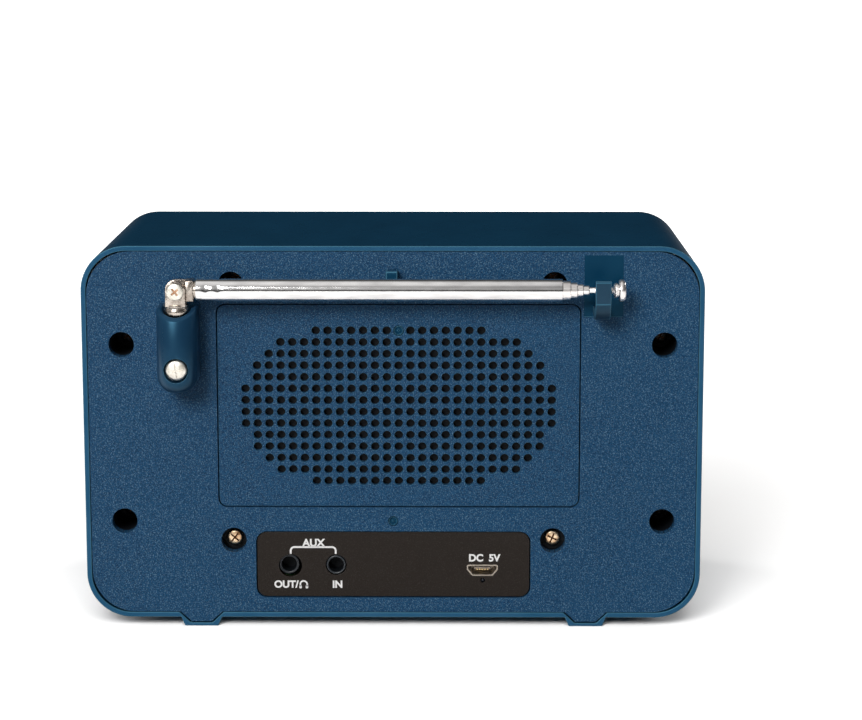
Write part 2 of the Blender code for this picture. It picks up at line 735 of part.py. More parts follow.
def make_buttons():
    panel_back = FRONT_FACE + PANEL_THICKNESS
    flange = 0.8 * MM
    for name, x in zip(BUTTON_NAMES, button_places()):
        half = Vector((BUTTON_WIDTH / 2, 0, BUTTON_HEIGHT / 2))
        middle = Vector((x, 0, BUTTON_Z))
        rear = panel_back + GAP + flange
        cap_back = Vector((0, rear - 0.2 * MM, 0))
        cap = box(name, middle - half + Vector((0, BUTTON_FRONT, 0)), middle + half + cap_back)
        bevel(cap, 0.5 * MM, 1)
        join(cap, box(
            name + "_flange",
            middle - half + Vector((-0.9 * MM, panel_back + GAP, -0.8 * MM)),
            middle + half + Vector((0.9 * MM, rear, 0.8 * MM)),
        ))
        finish(cap, CREAM, 0.4)
        switch = box(
            name.replace("button", "switch"),
            (x - 2.5 * MM, -30.2 * MM, BUTTON_Z - 2.5 * MM), (x + 2.5 * MM, -27.5 * MM, BUTTON_Z + 2.5 * MM),
        )
        finish(switch, BLACK, 0.5)


def make_power_light():
    light = turned(
        "power_light",
        [(0, 36.4 * MM), (0.8 * MM, 36.2 * MM), (1.3 * MM, 35.5 * MM), (1.3 * MM, 32.4 * MM),
         (2.1 * MM, 32.4 * MM), (2.1 * MM, 31.4 * MM), (0, 31.4 * MM)],
        12, (POWER_LIGHT[0], 0, POWER_LIGHT[1]), ALONG_Y,
    )
    return finish(light, AMBER, 0.2)


def make_battery():
    y, z, radius = -11.5 * MM, 15.2 * MM, 9.1 * MM
    cell = rod_along_y("battery_cell", radius, -32.5 * MM, 32.5 * MM, (0, 0), 20)
    cell.rotation_euler = (0, 0, math.radians(90))
    cell.location = (0, y, z)
    finish(cell, DARK_NAVY, 0.4)
    floor = CASE_BOTTOM + WALL + GAP
    holder = box("battery_holder", (-36 * MM, y - 11 * MM, floor), (36 * MM, y + 10.5 * MM, z + 2 * MM))
    bay = box(
        "battery_bay", (-32.8 * MM, y - 9.4 * MM, floor + 1.1 * MM), (32.8 * MM, y + 9.4 * MM, z + 4 * MM),
    )
    cut(holder, bay)
    finish(holder, BLACK, 0.6)


def make_bracket():
    """Half-round housing on the rear cover. The swivel's stem turns in its open top."""
    back = REAR_FACE + GAP
    axis = (SWIVEL_X, ANTENNA_Y)
    bracket = rod_along_z("antenna_bracket", BRACKET_RADIUS, BRACKET_BOTTOM, BRACKET_TOP, axis, 24)
    join(bracket, box(
        "bracket_web", (SWIVEL_X - BRACKET_RADIUS, back, BRACKET_BOTTOM),
        (SWIVEL_X + BRACKET_RADIUS, ANTENNA_Y, BRACKET_TOP),
    ))
    cut(
        bracket,
        rod_along_z("bracket_socket", BRACKET_SOCKET_RADIUS, SOCKET_FLOOR, BRACKET_TOP + 5 * MM, axis, 24),
        box(
            "bracket_scoop", (SWIVEL_X - 3.2 * MM, ANTENNA_Y + 1.5 * MM, BRACKET_LIP),
            (SWIVEL_X + 3.2 * MM, ANTENNA_Y + 9 * MM, BRACKET_TOP + 5 * MM),
        ),
        rod_along_y("bracket_counterbore", 2.9 * MM, 44.4 * MM, 50 * MM, (SWIVEL_X, BRACKET_SCREW_Z), 16),
        rod_along_y("bracket_shank_hole", 1.6 * MM, back - 1 * MM, 45 * MM, (SWIVEL_X, BRACKET_SCREW_Z), 8),
    )
    finish(bracket, NAVY, 0.3)
    screw = turned(
        "bracket_screw",
        [(0, 47.0 * MM), (1.5 * MM, 46.8 * MM), (2.5 * MM, 45.9 * MM), (2.5 * MM, 44.7 * MM),
         (1.2 * MM, 44.7 * MM), (1.2 * MM, 30.5 * MM), (0, 29.5 * MM)],
        12, (SWIVEL_X, 0, BRACKET_SCREW_Z), Matrix.Rotation(math.radians(-90), 4, "X"),
    )
    finish(screw, CHROME, 0.25, 1.0)


def make_clip():
    """J-shaped hook, open at the top, on a seat let into the rear cover."""
    seat_top = CASE_TOP - RIM - GAP
    clearance = GAP
    clip = box(
        "antenna_clip",
        (CLIP_SEAT_X - CLIP_SEAT_WIDTH / 2 + clearance, REAR_FACE - CLIP_SEAT_DEPTH + clearance,
         CLIP_SEAT_BOTTOM + clearance),
        (CLIP_SEAT_X + CLIP_SEAT_WIDTH / 2 - clearance, REAR_FACE - 0.4 * MM, seat_top),
    )
    radius = 3.0 * MM
    inner = radius - CLIP_THICKNESS
    elbow = (CLIP_FRONT - radius, CLIP_ARM_BOTTOM + radius)
    start = REAR_FACE - 0.8 * MM
    outline = [(start, CLIP_ARM_BOTTOM + 0.4 * MM)]
    outline += arc(elbow, radius, -90, 0, 5)
    end_radius = CLIP_THICKNESS / 2
    outline += arc((CLIP_FRONT - end_radius, CLIP_TOP - end_radius), end_radius, 0, 180, 4)
    outline += arc(elbow, inner, 0, -90, 3)
    outline += [(start, CLIP_ARM_BOTTOM + CLIP_THICKNESS + 0.8 * MM)]
    hook = flat("clip_hook", [[(y, z) for y, z in outline]], -CLIP_WIDTH / 2, CLIP_WIDTH / 2)
    hook.matrix_world = (
        Matrix.Translation((CLIP_X, 0, 0)) @ Matrix.Rotation(math.radians(90), 4, "Z") @ hook.matrix_world
    )
    join(clip, hook)
    return finish(clip, NAVY, 0.3)


def make_swivel():
    """Knuckle whose stem turns in the bracket. Its two ears hold the hinge pin."""
    axis = (SWIVEL_X, ANTENNA_Y)
    stem_bottom, collar_bottom, collar_top = SOCKET_FLOOR + GAP, 78.6 * MM, 81.2 * MM
    knuckle = turned(
        "antenna_swivel",
        [(0, collar_top), (2.6 * MM, collar_top), (2.8 * MM, collar_top - 0.3 * MM),
         (2.8 * MM, collar_bottom),
         (2.2 * MM, collar_bottom - 0.6 * MM), (2.2 * MM, stem_bottom), (0, stem_bottom)],
        20, (*axis, 0),
    )
    half = EAR_WIDTH / 2
    ear_foot = collar_top - ANTENNA_Z - 0.8 * MM
    outline = arc((0, 0), half, 0, 180, 8) + [(-half, ear_foot), (half, ear_foot)]
    inner, outer = EAR_GAP / 2, EAR_GAP / 2 + EAR_THICKNESS
    ears = [
        flat("ear_front", [outline], ANTENNA_Y + inner, ANTENNA_Y + outer, (SWIVEL_X, ANTENNA_Z)),
        flat("ear_back", [outline], ANTENNA_Y - outer, ANTENNA_Y - inner, (SWIVEL_X, ANTENNA_Z)),
    ]
    join(knuckle, *ears)
    cut(knuckle, rod_along_y(
        "pin_hole", PIN_RADIUS + 0.25 * MM, ANTENNA_Y - 5 * MM, ANTENNA_Y + 5 * MM, (SWIVEL_X, ANTENNA_Z), 12,
    ))
    finish(knuckle, CHROME, 0.3, 1.0)
    head = outer + GAP
    pin = turned(
        "antenna_pin",
        [(0, head + 0.9 * MM), (1.3 * MM, head + 0.8 * MM), (1.95 * MM, head + 0.3 * MM), (1.95 * MM, head),
         (PIN_RADIUS, head), (PIN_RADIUS, -outer - 0.2 * MM), (0, -outer - 0.2 * MM)],
        12, (SWIVEL_X, ANTENNA_Y, ANTENNA_Z), Matrix.Rotation(math.radians(-90), 4, "X"),
    )
    finish(pin, CHROME, 0.3, 1.0)
    turn_axis = empty("antenna_swivel_axis", (SWIVEL_X, ANTENNA_Y, 0))
    attach(knuckle, turn_axis)
    attach(pin, turn_axis)
    return turn_axis


def antenna_rod(name, profile):
    """A turned piece of the antenna. Its profile is (radius, x), and it lies along X."""
    points = [(radius, x - SWIVEL_X) for radius, x in profile]
    return turned(name, points, 12, (SWIVEL_X, ANTENNA_Y, ANTENNA_Z), ALONG_X)


def make_antenna(turn_axis):
    tilt_axis = empty("antenna_tilt_axis", (SWIVEL_X, ANTENNA_Y, ANTENNA_Z), turn_axis)
    half_tongue, tongue_radius = 1.0 * MM, 2.6 * MM
    outline = arc((0, 0), tongue_radius, -90, 90, 8)
    outline += [(-3.2 * MM, tongue_radius), (-3.2 * MM, -tongue_radius)]
    base = flat(
        "antenna_base", [outline], ANTENNA_Y - half_tongue, ANTENNA_Y + half_tongue, (SWIVEL_X, ANTENNA_Z),
    )
    block = box(
        "base_block", (47.3 * MM, ANTENNA_Y - 2.5 * MM, ANTENNA_Z - 2.5 * MM),
        (48.5 * MM, ANTENNA_Y + 2.5 * MM, ANTENNA_Z + 2.5 * MM),
    )
    plug = antenna_rod("base_plug", [
        (0, 48.0 * MM), (2.0 * MM, 48.0 * MM), (2.0 * MM, 44.6 * MM), (0, 44.6 * MM),
    ])
    join(base, block, plug)
    cut(base, rod_along_y(
        "tongue_hole", PIN_RADIUS + 0.25 * MM, ANTENNA_Y - 5 * MM, ANTENNA_Y + 5 * MM,
        (SWIVEL_X, ANTENNA_Z), 12,
    ))
    finish(base, CHROME, 0.3, 1.0)
    attach(base, tilt_axis)
    starts = [TUBE_START] + [TUBE_INNER_START - GAP * index for index in range(1, len(TUBE_OUTER))]
    for number, (outer, bore, start, end) in enumerate(zip(TUBE_OUTER, TUBE_BORE, starts, TUBE_END), 1):
        tube = antenna_rod(f"antenna_tube_{number}", ring_profile(outer, bore, start, end))
        finish(tube, CHROME, 0.12, 1.0)
        attach(tube, tilt_axis)
    rod_start = TUBE_INNER_START - 6 * GAP
    tip = antenna_rod("antenna_tip", [
        (0, rod_start), (ROD_RADIUS, rod_start), (ROD_RADIUS, -52.9 * MM), (1.5 * MM, -53.7 * MM),
        (1.2 * MM, -54.0 * MM), (CAP_RADIUS, CAP_START), (CAP_RADIUS, CAP_END + 0.3 * MM),
        (CAP_RADIUS - 0.4 * MM, CAP_END), (0, CAP_END),
    ])
    finish(tip, CHROME, 0.12, 1.0)
    attach(tip, tilt_axis)


make_cabinet()
make_rear_cover()
make_rear_grille()
make_port_plate()
make_jack("out_jack", OUT_JACK, 2.55 * MM, 34.6 * MM)
make_jack("in_jack", IN_JACK, 2.45 * MM, 35.3 * MM)
make_usb_socket()
make_boards()
make_screws()
make_front_panel()
make_front_trim()
make_speaker_grille()
make_speaker()
make_dial_plate()
make_knob("tuning_knob", "tuning_shaft", "tuning_control", DIAL, TUNING_KNOB_RADIUS, 37.0 * MM, 8 * MM, True)
make_knob(
    "volume_knob", "volume_shaft", "volume_control", VOLUME, SMALL_KNOB_RADIUS, 35.6 * MM, 7 * MM, False,
)
make_knob("mode_knob", "mode_shaft", "mode_control", MODE, SMALL_KNOB_RADIUS, 35.6 * MM, 7 * MM, False)
make_buttons()
make_power_light()
make_battery()
make_bracket()
make_clip()
make_antenna(make_swivel())
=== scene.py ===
"""Looks for the tabletop radio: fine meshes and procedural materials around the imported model."""

import json
import math

import bmesh
import bpy
from mathutils import Matrix, Vector


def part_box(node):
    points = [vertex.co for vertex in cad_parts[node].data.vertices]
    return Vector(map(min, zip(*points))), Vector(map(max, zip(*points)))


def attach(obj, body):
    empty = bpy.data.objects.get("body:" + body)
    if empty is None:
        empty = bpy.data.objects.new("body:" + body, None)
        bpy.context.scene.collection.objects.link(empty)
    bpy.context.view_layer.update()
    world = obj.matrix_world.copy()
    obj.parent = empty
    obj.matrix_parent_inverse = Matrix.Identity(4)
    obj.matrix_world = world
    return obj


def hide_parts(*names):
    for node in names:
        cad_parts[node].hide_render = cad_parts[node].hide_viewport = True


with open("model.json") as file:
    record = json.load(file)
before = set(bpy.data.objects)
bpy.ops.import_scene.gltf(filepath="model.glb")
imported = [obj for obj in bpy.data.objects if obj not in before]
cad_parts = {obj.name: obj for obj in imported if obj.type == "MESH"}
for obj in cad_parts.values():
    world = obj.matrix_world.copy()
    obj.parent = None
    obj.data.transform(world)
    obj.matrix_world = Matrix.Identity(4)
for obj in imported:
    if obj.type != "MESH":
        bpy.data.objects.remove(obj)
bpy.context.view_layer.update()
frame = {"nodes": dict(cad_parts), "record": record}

MM = 0.001
SEAM = 0.3 * MM
RIM = 1.25 * MM
CORNER = 11 * MM
PROUD = 0.03 * MM
SMOOTH = 38

# Local axes turned to the ways that pieces face. Text and outlines lie in X and Y and face +Z.
FACING_REAR = Matrix(((-1, 0, 0, 0), (0, 0, 1, 0), (0, 1, 0, 0), (0, 0, 0, 1)))
FACING_FRONT = Matrix(((1, 0, 0, 0), (0, 0, -1, 0), (0, 1, 0, 0), (0, 0, 0, 1)))
TOWARDS_TIP = Matrix(((0, 0, -1, 0), (0, 1, 0, 0), (1, 0, 0, 0), (0, 0, 0, 1)))
UPRIGHT = Matrix.Identity(4)


def at(x, y, z, facing=UPRIGHT):
    return Matrix.Translation((x, y, z)) @ facing


def on_rear(x, y, z):
    return at(x, y, z, FACING_REAR)


def on_front(x, y, z):
    return at(x, y, z, FACING_FRONT)


def lifted(matrix, height=PROUD):
    return matrix @ Matrix.Translation((0, 0, height))


class Span:
    """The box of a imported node: its corners, centre and size."""

    def __init__(self, node):
        self.low, self.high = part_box(node)
        self.centre = (self.low + self.high) / 2
        self.size = self.high - self.low


def middle(node):
    return Span(node).centre


# ---------------------------------------------------------------- camera and light


def make_camera():
    """The photograph's view: from behind and a little above, with a long lens."""
    pitch, yaw = math.radians(9.99), math.radians(0.38)
    forward = Vector((math.sin(yaw) * math.cos(pitch), -math.cos(yaw) * math.cos(pitch), -math.sin(pitch)))
    data = bpy.data.cameras.new("camera")
    data.lens = 105.5
    data.clip_end = 50
    camera = bpy.data.objects.new("camera", data)
    camera.location = (-0.0132, 0.6357, 0.1720)
    camera.rotation_mode = "QUATERNION"
    camera.rotation_quaternion = forward.to_track_quat("-Z", "Y")
    bpy.context.scene.collection.objects.link(camera)
    bpy.context.scene.camera = camera


def make_panel_light(name, place, target, width, height, power, colour=(1, 1, 1)):
    data = bpy.data.lights.new(name, "AREA")
    data.shape = "RECTANGLE"
    data.size, data.size_y = width, height
    data.energy = power
    data.color = colour
    light = bpy.data.objects.new(name, data)
    light.location = place
    light.rotation_mode = "QUATERNION"
    light.rotation_quaternion = (Vector(target) - Vector(place)).to_track_quat("-Z", "Y")
    bpy.context.scene.collection.objects.link(light)
    return light


def make_surroundings():
    """Soft studio walls: pale in front of the rear cover, paler overhead, dark beyond the front."""
    world = bpy.data.worlds.new("studio")
    bpy.context.scene.world = world
    world.use_nodes = True
    nodes, links = world.node_tree.nodes, world.node_tree.links
    direction = nodes.new("ShaderNodeSeparateXYZ")
    links.new(nodes.new("ShaderNodeTexCoord").outputs["Generated"], direction.inputs["Vector"])

    def by_height(*stops):
        ramp = nodes.new("ShaderNodeValToRGB")
        elements = ramp.color_ramp.elements
        while len(elements) < len(stops):
            elements.new(0.5)
        for element, (height, level) in zip(elements, stops):
            element.position = height
            element.color = (level, level, level, 1)
        links.new(direction.outputs["Z"], ramp.inputs["Fac"])
        return ramp.outputs["Color"]

    def by_side(axis, low, high, least):
        """A level that rises smoothly along an axis, from least to 1."""
        side = nodes.new("ShaderNodeMapRange")
        side.interpolation_type = "SMOOTHSTEP"
        side.inputs["From Min"].default_value = low
        side.inputs["From Max"].default_value = high
        side.inputs["To Min"].default_value = least
        links.new(direction.outputs[axis], side.inputs["Value"])
        return side.outputs["Result"]

    def mixed(factor, first, second, blend="MIX"):
        mix = nodes.new("ShaderNodeMix")
        mix.data_type = "RGBA"
        mix.blend_type = blend
        for socket, source in ((mix.inputs[0], factor), (mix.inputs[6], first), (mix.inputs[7], second)):
            if isinstance(source, (int, float, tuple)):
                socket.default_value = source
            else:
                links.new(source, socket)
        return mix.outputs[2]

    front = by_height((0.0, 0.01), (0.4, 0.012), (0.67, 0.08), (0.91, 0.12), (0.99, 0.75))
    rear = by_height(
        (0.0, 0.22), (0.02, 0.07), (0.17, 0.09), (0.23, 0.5),
        (0.45, 0.52), (0.7, 0.42), (0.82, 0.75), (0.95, 0.92),
    )
    walls = mixed(by_side("Y", -0.3, 0.12, 0.0), front, rear)
    walls = mixed(1.0, walls, by_side("X", -0.75, 0.15, 0.2), "MULTIPLY")
    is_seen = nodes.new("ShaderNodeLightPath").outputs["Is Camera Ray"]
    links.new(mixed(is_seen, walls, (1, 1, 1, 1)), nodes["Background"].inputs["Color"])


def make_floor():
    mesh = bpy.data.meshes.new("floor")
    bm = bmesh.new()
    bmesh.ops.create_grid(bm, x_segments=2, y_segments=2, size=15)
    bm.to_mesh(mesh)
    bm.free()
    floor = bpy.data.objects.new("floor", mesh)
    bpy.context.scene.collection.objects.link(floor)
    white, dim = (0.86, 0.855, 0.85), (0.22, 0.22, 0.22)
    paint = Paint("floor", white, 0.7, specular=0.1)
    distance = paint.node("ShaderNodeVectorMath", operation="LENGTH")
    paint.link(paint.coordinates(), distance.inputs[0])
    seen = paint.ramp(distance.outputs["Value"], [(0.15, 0.0), (0.45, 0.25), (1.0, 1.0)])
    reflected = paint.ramp(distance.outputs["Value"], [(0.15, 0.0), (0.45, 0.2), (1.0, 0.12)])
    is_seen = paint.node("ShaderNodeLightPath").outputs["Is Camera Ray"]
    glow = paint.mix(is_seen, reflected, seen)
    far = paint.ramp(distance.outputs["Value"], [(0.45, 0.0), (0.85, 1.0)])
    paint.colour(paint.mix(is_seen, paint.mix(far, white, dim), white))
    paint.shader.inputs["Emission Color"].default_value = (1, 0.998, 0.99, 1)
    paint.link(glow, paint.shader.inputs["Emission Strength"])
    mesh.materials.append(paint.material)
    floor.visible_diffuse = False
    return floor


def make_studio():
    bpy.context.scene.view_settings.view_transform = "Standard"
    make_surroundings()
    floor = make_floor()
    centre = (0, 0, 0.05)
    make_panel_light("key", (0.40, 1.05, 0.66), centre, 0.45, 0.45, 10.2)
    make_panel_light("front_left", (-1.1, -0.85, 0.6), centre, 0.6, 0.6, 10)
    make_panel_light("front_right", (1.15, -0.8, 0.5), centre, 0.6, 0.6, 8)
    floor_light = make_panel_light("floor_light", (0, 2.4, 2.0), (0, 0.1, 0), 1.9, 1.9, 105)
    lit = bpy.data.collections.new("floor_only")
    lit.objects.link(floor)
    floor_light.light_linking.receiver_collection = lit


# ---------------------------------------------------------------- materials


class Paint:
    """A Principled material and the nodes that feed it."""

    def __init__(self, name, colour, roughness, metallic=0.0, specular=0.5):
        self.material = bpy.data.materials.new(name)
        self.material.use_nodes = True
        self.tree = self.material.node_tree
        self.shader = self.tree.nodes["Principled BSDF"]
        self.shader.inputs["Base Color"].default_value = (*colour, 1)
        self.shader.inputs["Roughness"].default_value = roughness
        self.shader.inputs["Metallic"].default_value = metallic
        self.shader.inputs["Specular IOR Level"].default_value = specular

    def node(self, kind, **settings):
        made = self.tree.nodes.new(kind)
        for key, value in settings.items():
            setattr(made, key, value)
        return made

    def link(self, source, target):
        self.tree.links.new(source, target)

    def coordinates(self, stretch=(1, 1, 1)):
        coords = self.node("ShaderNodeTexCoord")
        if stretch == (1, 1, 1):
            return coords.outputs["Object"]
        mapping = self.node("ShaderNodeMapping")
        mapping.inputs["Scale"].default_value = stretch
        self.link(coords.outputs["Object"], mapping.inputs["Vector"])
        return mapping.outputs["Vector"]

    def noise(self, size, detail=2.0, stretch=(1, 1, 1)):
        """Noise whose features are about size metres across."""
        noise = self.node("ShaderNodeTexNoise")
        noise.inputs["Scale"].default_value = 1 / size
        noise.inputs["Detail"].default_value = detail
        self.link(self.coordinates(stretch), noise.inputs["Vector"])
        return noise.outputs["Fac"]

    def ramp(self, source, stops):
        """A value that follows the source through (position, value) stops."""
        ramp = self.node("ShaderNodeValToRGB")
        elements = ramp.color_ramp.elements
        while len(elements) < len(stops):
            elements.new(0.5)
        for element, (position, value) in zip(elements, stops):
            element.position = position
            colour = value if isinstance(value, tuple) else (value, value, value)
            element.color = (*colour, 1)
        self.link(source, ramp.inputs["Fac"])
        return ramp.outputs["Color"]

    def mix(self, factor, first, second):
        """Colours or sockets mixed by the factor."""
        mix = self.node("ShaderNodeMix", data_type="RGBA")
        for socket, value in ((mix.inputs[0], factor), (mix.inputs[6], first), (mix.inputs[7], second)):
            if isinstance(value, (int, float)):
                socket.default_value = value
            elif isinstance(value, tuple):
                socket.default_value = (*value, 1)
            else:
                self.link(value, socket)
        return mix.outputs[2]

    def colour(self, source):
        self.link(source, self.shader.inputs["Base Color"])

    def roughness(self, source, low, high):
        spread = self.node("ShaderNodeMapRange")
        spread.inputs["To Min"].default_value = low
        spread.inputs["To Max"].default_value = high
        self.link(source, spread.inputs["Value"])
        self.link(spread.outputs["Result"], self.shader.inputs["Roughness"])

    def relief(self, source, height, strength=1.0):
        bump = self.node("ShaderNodeBump")
        bump.inputs["Distance"].default_value = height
        bump.inputs["Strength"].default_value = strength
        self.link(source, bump.inputs["Height"])
        self.link(bump.outputs["Normal"], self.shader.inputs["Normal"])


def flecks(paint, cell, radius, share, strength):
    """A mask of small round flecks: one in a share of the cells, each about radius across."""
    cells = paint.node("ShaderNodeTexVoronoi")
    cells.inputs["Scale"].default_value = 1 / cell
    paint.link(paint.coordinates(), cells.inputs["Vector"])
    near = paint.ramp(cells.outputs["Distance"], [(0.0, strength), (radius / cell, 0.0)])
    separate = paint.node("ShaderNodeSeparateColor")
    paint.link(cells.outputs["Color"], separate.inputs["Color"])
    chosen = paint.ramp(separate.outputs["Red"], [(1 - share, 0.0), (1.0, 1.0)])
    both = paint.node("ShaderNodeMath", operation="MULTIPLY")
    paint.link(near, both.inputs[0])
    paint.link(chosen, both.inputs[1])
    return both.outputs["Value"]


def textured(name, dark, light, fleck, roughness, specular=0.2):
    """Spark-textured moulding: fine grain, bright flecks of two kinds and a slow change of tone."""
    paint = Paint(name, dark, roughness, specular=specular)
    grain = paint.noise(0.36 * MM, 4)
    sparks = paint.noise(0.27 * MM, 1)
    slow = paint.noise(24 * MM, 2)
    tone = paint.mix(paint.ramp(grain, [(0.36, 0.0), (0.62, 1.0)]), dark, light)
    tone = paint.mix(paint.ramp(slow, [(0.35, 0.0), (0.7, 0.25)]), tone, light)
    tone = paint.mix(paint.ramp(sparks, [(0.54, 0.0), (0.74, 0.75)]), tone, fleck)
    tone = paint.mix(flecks(paint, 1.1 * MM, 0.24 * MM, 0.3, 0.9), tone, fleck)
    paint.colour(tone)
    paint.roughness(grain, roughness - 0.08, roughness + 0.1)
    both = paint.node("ShaderNodeMath", operation="ADD")
    paint.link(grain, both.inputs[0])
    paint.link(sparks, both.inputs[1])
    paint.relief(both.outputs["Value"], 0.07 * MM, 0.7)
    return paint.material


def polished(name, dark, light, roughness, coat=0.0, specular=0.3, tint=(1, 1, 1)):
    """Polished moulding with faint flow marks and handling marks."""
    paint = Paint(name, dark, roughness, specular=specular)
    flow = paint.noise(14 * MM, 4, (1, 0.4, 1))
    tone = paint.mix(paint.ramp(flow, [(0.3, 0.0), (0.75, 1.0)]), dark, light)
    paint.colour(tone)
    marks = paint.noise(3 * MM, 5)
    paint.roughness(marks, roughness - 0.05, roughness + 0.08)
    paint.relief(paint.noise(0.9 * MM, 2), 0.004 * MM, 0.3)
    paint.shader.inputs["Coat Weight"].default_value = coat
    paint.shader.inputs["Coat Roughness"].default_value = 0.08
    paint.shader.inputs["Specular Tint"].default_value = (*tint, 1)
    return paint.material


def plated(name, dark, light, roughness, grain=(1, 1, 1), relief=0.012 * MM):
    """Plated or polished metal with fine drawing marks, uneven polish and small pits."""
    paint = Paint(name, light, roughness, 1.0)
    stain = paint.noise(1.6 * MM, 4, grain)
    paint.colour(paint.mix(paint.ramp(stain, [(0.3, 0.0), (0.62, 1.0)]), dark, light))
    polish = paint.noise(0.7 * MM, 3, grain)
    pits = paint.noise(0.4 * MM, 2)
    paint.roughness(polish, max(0.02, roughness - 0.04), roughness + 0.08)
    both = paint.node("ShaderNodeMath", operation="ADD")
    paint.link(polish, both.inputs[0])
    paint.link(pits, both.inputs[1])
    paint.relief(both.outputs["Value"], relief, 0.5)
    return paint.material


def printed(name, colour):
    """Screen-printed ink, a little uneven."""
    paint = Paint(name, colour, 0.5)
    worn = paint.noise(0.35 * MM, 3)
    thin = tuple(0.8 * c for c in colour)
    paint.colour(paint.mix(paint.ramp(worn, [(0.28, 0.0), (0.5, 1.0)]), thin, colour))
    paint.relief(worn, 0.01 * MM, 0.3)
    return paint.material


def clear_lens(name, colour):
    paint = Paint(name, colour, 0.12)
    cloud = paint.noise(1.2 * MM, 2)
    paint.colour(paint.mix(cloud, tuple(0.6 * c for c in colour), colour))
    paint.shader.inputs["Transmission Weight"].default_value = 0.45
    paint.shader.inputs["Coat Weight"].default_value = 0.6
    return paint.material


BLUE_SHEEN = (0.22, 0.62, 0.9)
RECIPES = {
    "textured_navy": (textured, (0.001, 0.025, 0.074), (0.009, 0.071, 0.165), (0.15, 0.285, 0.40), 0.5),
    "gloss_navy": (polished, (0.001, 0.034, 0.074), (0.002, 0.041, 0.088), 0.28, 0.0, 0.25, BLUE_SHEEN),
    "lit_rim_navy": (polished, (0.018, 0.092, 0.185), (0.034, 0.122, 0.235), 0.3, 0.0, 0.25, BLUE_SHEEN),
    "smooth_navy": (polished, (0.003, 0.037, 0.083), (0.006, 0.049, 0.102), 0.22, 0.0, 0.24, BLUE_SHEEN),
    "bracket_navy": (polished, (0.007, 0.034, 0.076), (0.011, 0.045, 0.096), 0.3, 0.0, 0.55, BLUE_SHEEN),
    "clip_navy": (polished, (0.021, 0.054, 0.093), (0.032, 0.071, 0.117), 0.34, 0.0, 0.3, BLUE_SHEEN),
    # Lighter navy for rounded edges: a painted highlight along the edges of the navy mouldings.
    "navy_edge_highlight": (polished, (0.035, 0.12, 0.19), (0.06, 0.17, 0.25), 0.3, 0.0, 0.5, BLUE_SHEEN),
    # Lighter brown for the port plate's rounded edges: a painted highlight along them.
    "brown_edge_highlight": (polished, (0.03, 0.022, 0.018), (0.06, 0.05, 0.045), 0.3, 0.0, 0.5),
    "screw_in_shade": (plated, (0.03, 0.03, 0.03), (0.06, 0.058, 0.055), 0.35),
    "usb_brown": (polished, (0.16, 0.12, 0.09), (0.24, 0.19, 0.15), 0.3),
    "smoked_lens": (polished, (0.004, 0.006, 0.01), (0.006, 0.01, 0.018), 0.12, 0.3),
    "port_brown": (textured, (0.0085, 0.0046, 0.0022), (0.0115, 0.007, 0.0042), (0.03, 0.024, 0.02), 0.42),
    "black_plastic": (polished, (0.006, 0.006, 0.007), (0.010, 0.010, 0.011), 0.35),
    "well_shade": (polished, (0.0015, 0.003, 0.005), (0.002, 0.004, 0.007), 0.6),
    "socket_steel": (plated, (0.50, 0.50, 0.49), (0.72, 0.71, 0.69), 0.22),
    "screw_brass": (plated, (0.42, 0.20, 0.08), (0.95, 0.74, 0.50), 0.28),
    "recess_shade": (plated, (0.035, 0.015, 0.006), (0.09, 0.04, 0.018), 0.5),
    "antenna_chrome": (plated, (0.64, 0.625, 0.62), (0.84, 0.825, 0.815), 0.09, (0.25, 1, 1), 0.008 * MM),
    "satin_chrome": (plated, (0.74, 0.70, 0.68), (0.90, 0.865, 0.84), 0.3, (0.25, 1, 1), 0.012 * MM),
    "nickel": (plated, (0.24, 0.20, 0.17), (0.52, 0.465, 0.41), 0.25),
    "pan_head": (plated, (0.66, 0.62, 0.54), (0.84, 0.81, 0.735), 0.42),
    "copper": (plated, (0.36, 0.17, 0.08), (0.62, 0.40, 0.27), 0.4),
    "trim_chrome": (plated, (0.70, 0.70, 0.69), (0.76, 0.755, 0.745), 0.12, (1, 1, 1), 0.004 * MM),
    "spun_metal": (plated, (0.46, 0.455, 0.44), (0.52, 0.51, 0.495), 0.28, (1, 1, 1), 0.003 * MM),
    "cream": (polished, (0.62, 0.55, 0.40), (0.70, 0.63, 0.47), 0.38),
    "dial_cream": (printed, (0.78, 0.72, 0.57)),
    "knob_black": (polished, (0.010, 0.011, 0.013), (0.020, 0.021, 0.024), 0.25, 0.2),
    "circuit_board": (textured, (0.004, 0.05, 0.018), (0.008, 0.085, 0.03), (0.6, 0.5, 0.25), 0.35),
    "shield_steel": (plated, (0.42, 0.42, 0.41), (0.6, 0.6, 0.58), 0.3),
    "speaker_frame": (polished, (0.012, 0.012, 0.012), (0.02, 0.02, 0.02), 0.45),
    "speaker_paper": (textured, (0.010, 0.010, 0.010), (0.022, 0.021, 0.02), (0.05, 0.05, 0.045), 0.8),
    "battery_sleeve": (polished, (0.01, 0.03, 0.07), (0.014, 0.04, 0.09), 0.3),
    "lamp_amber": (clear_lens, (0.9, 0.42, 0.08)),
    "white_ink": (printed, (1.0, 0.985, 0.97)),
    "gold_contact": (plated, (0.5, 0.32, 0.12), (0.85, 0.62, 0.3), 0.25),
    "shaded_steel": (plated, (0.26, 0.22, 0.18), (0.42, 0.37, 0.31), 0.35),
    # Lighter grey-black for the jack barrels' rounded edges: a painted highlight on them.
    "jack_rim_highlight": (polished, (0.020, 0.025, 0.032), (0.035, 0.042, 0.05), 0.3, 0.0, 0.4),
    "navy_ink": (printed, (0.02, 0.05, 0.09)),
    "red_ink": (printed, (0.55, 0.04, 0.02)),
}
MATERIALS = {name: make(name, *values) for name, (make, *values) in RECIPES.items()}


def repaint_model():
    """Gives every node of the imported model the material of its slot."""
    for entry in frame["record"]["subparts"]:
        mesh = frame["nodes"][entry["node"]].data
        mesh.materials.clear()
        mesh.materials.append(MATERIALS[entry["material_slot"]])


# ---------------------------------------------------------------- mesh work


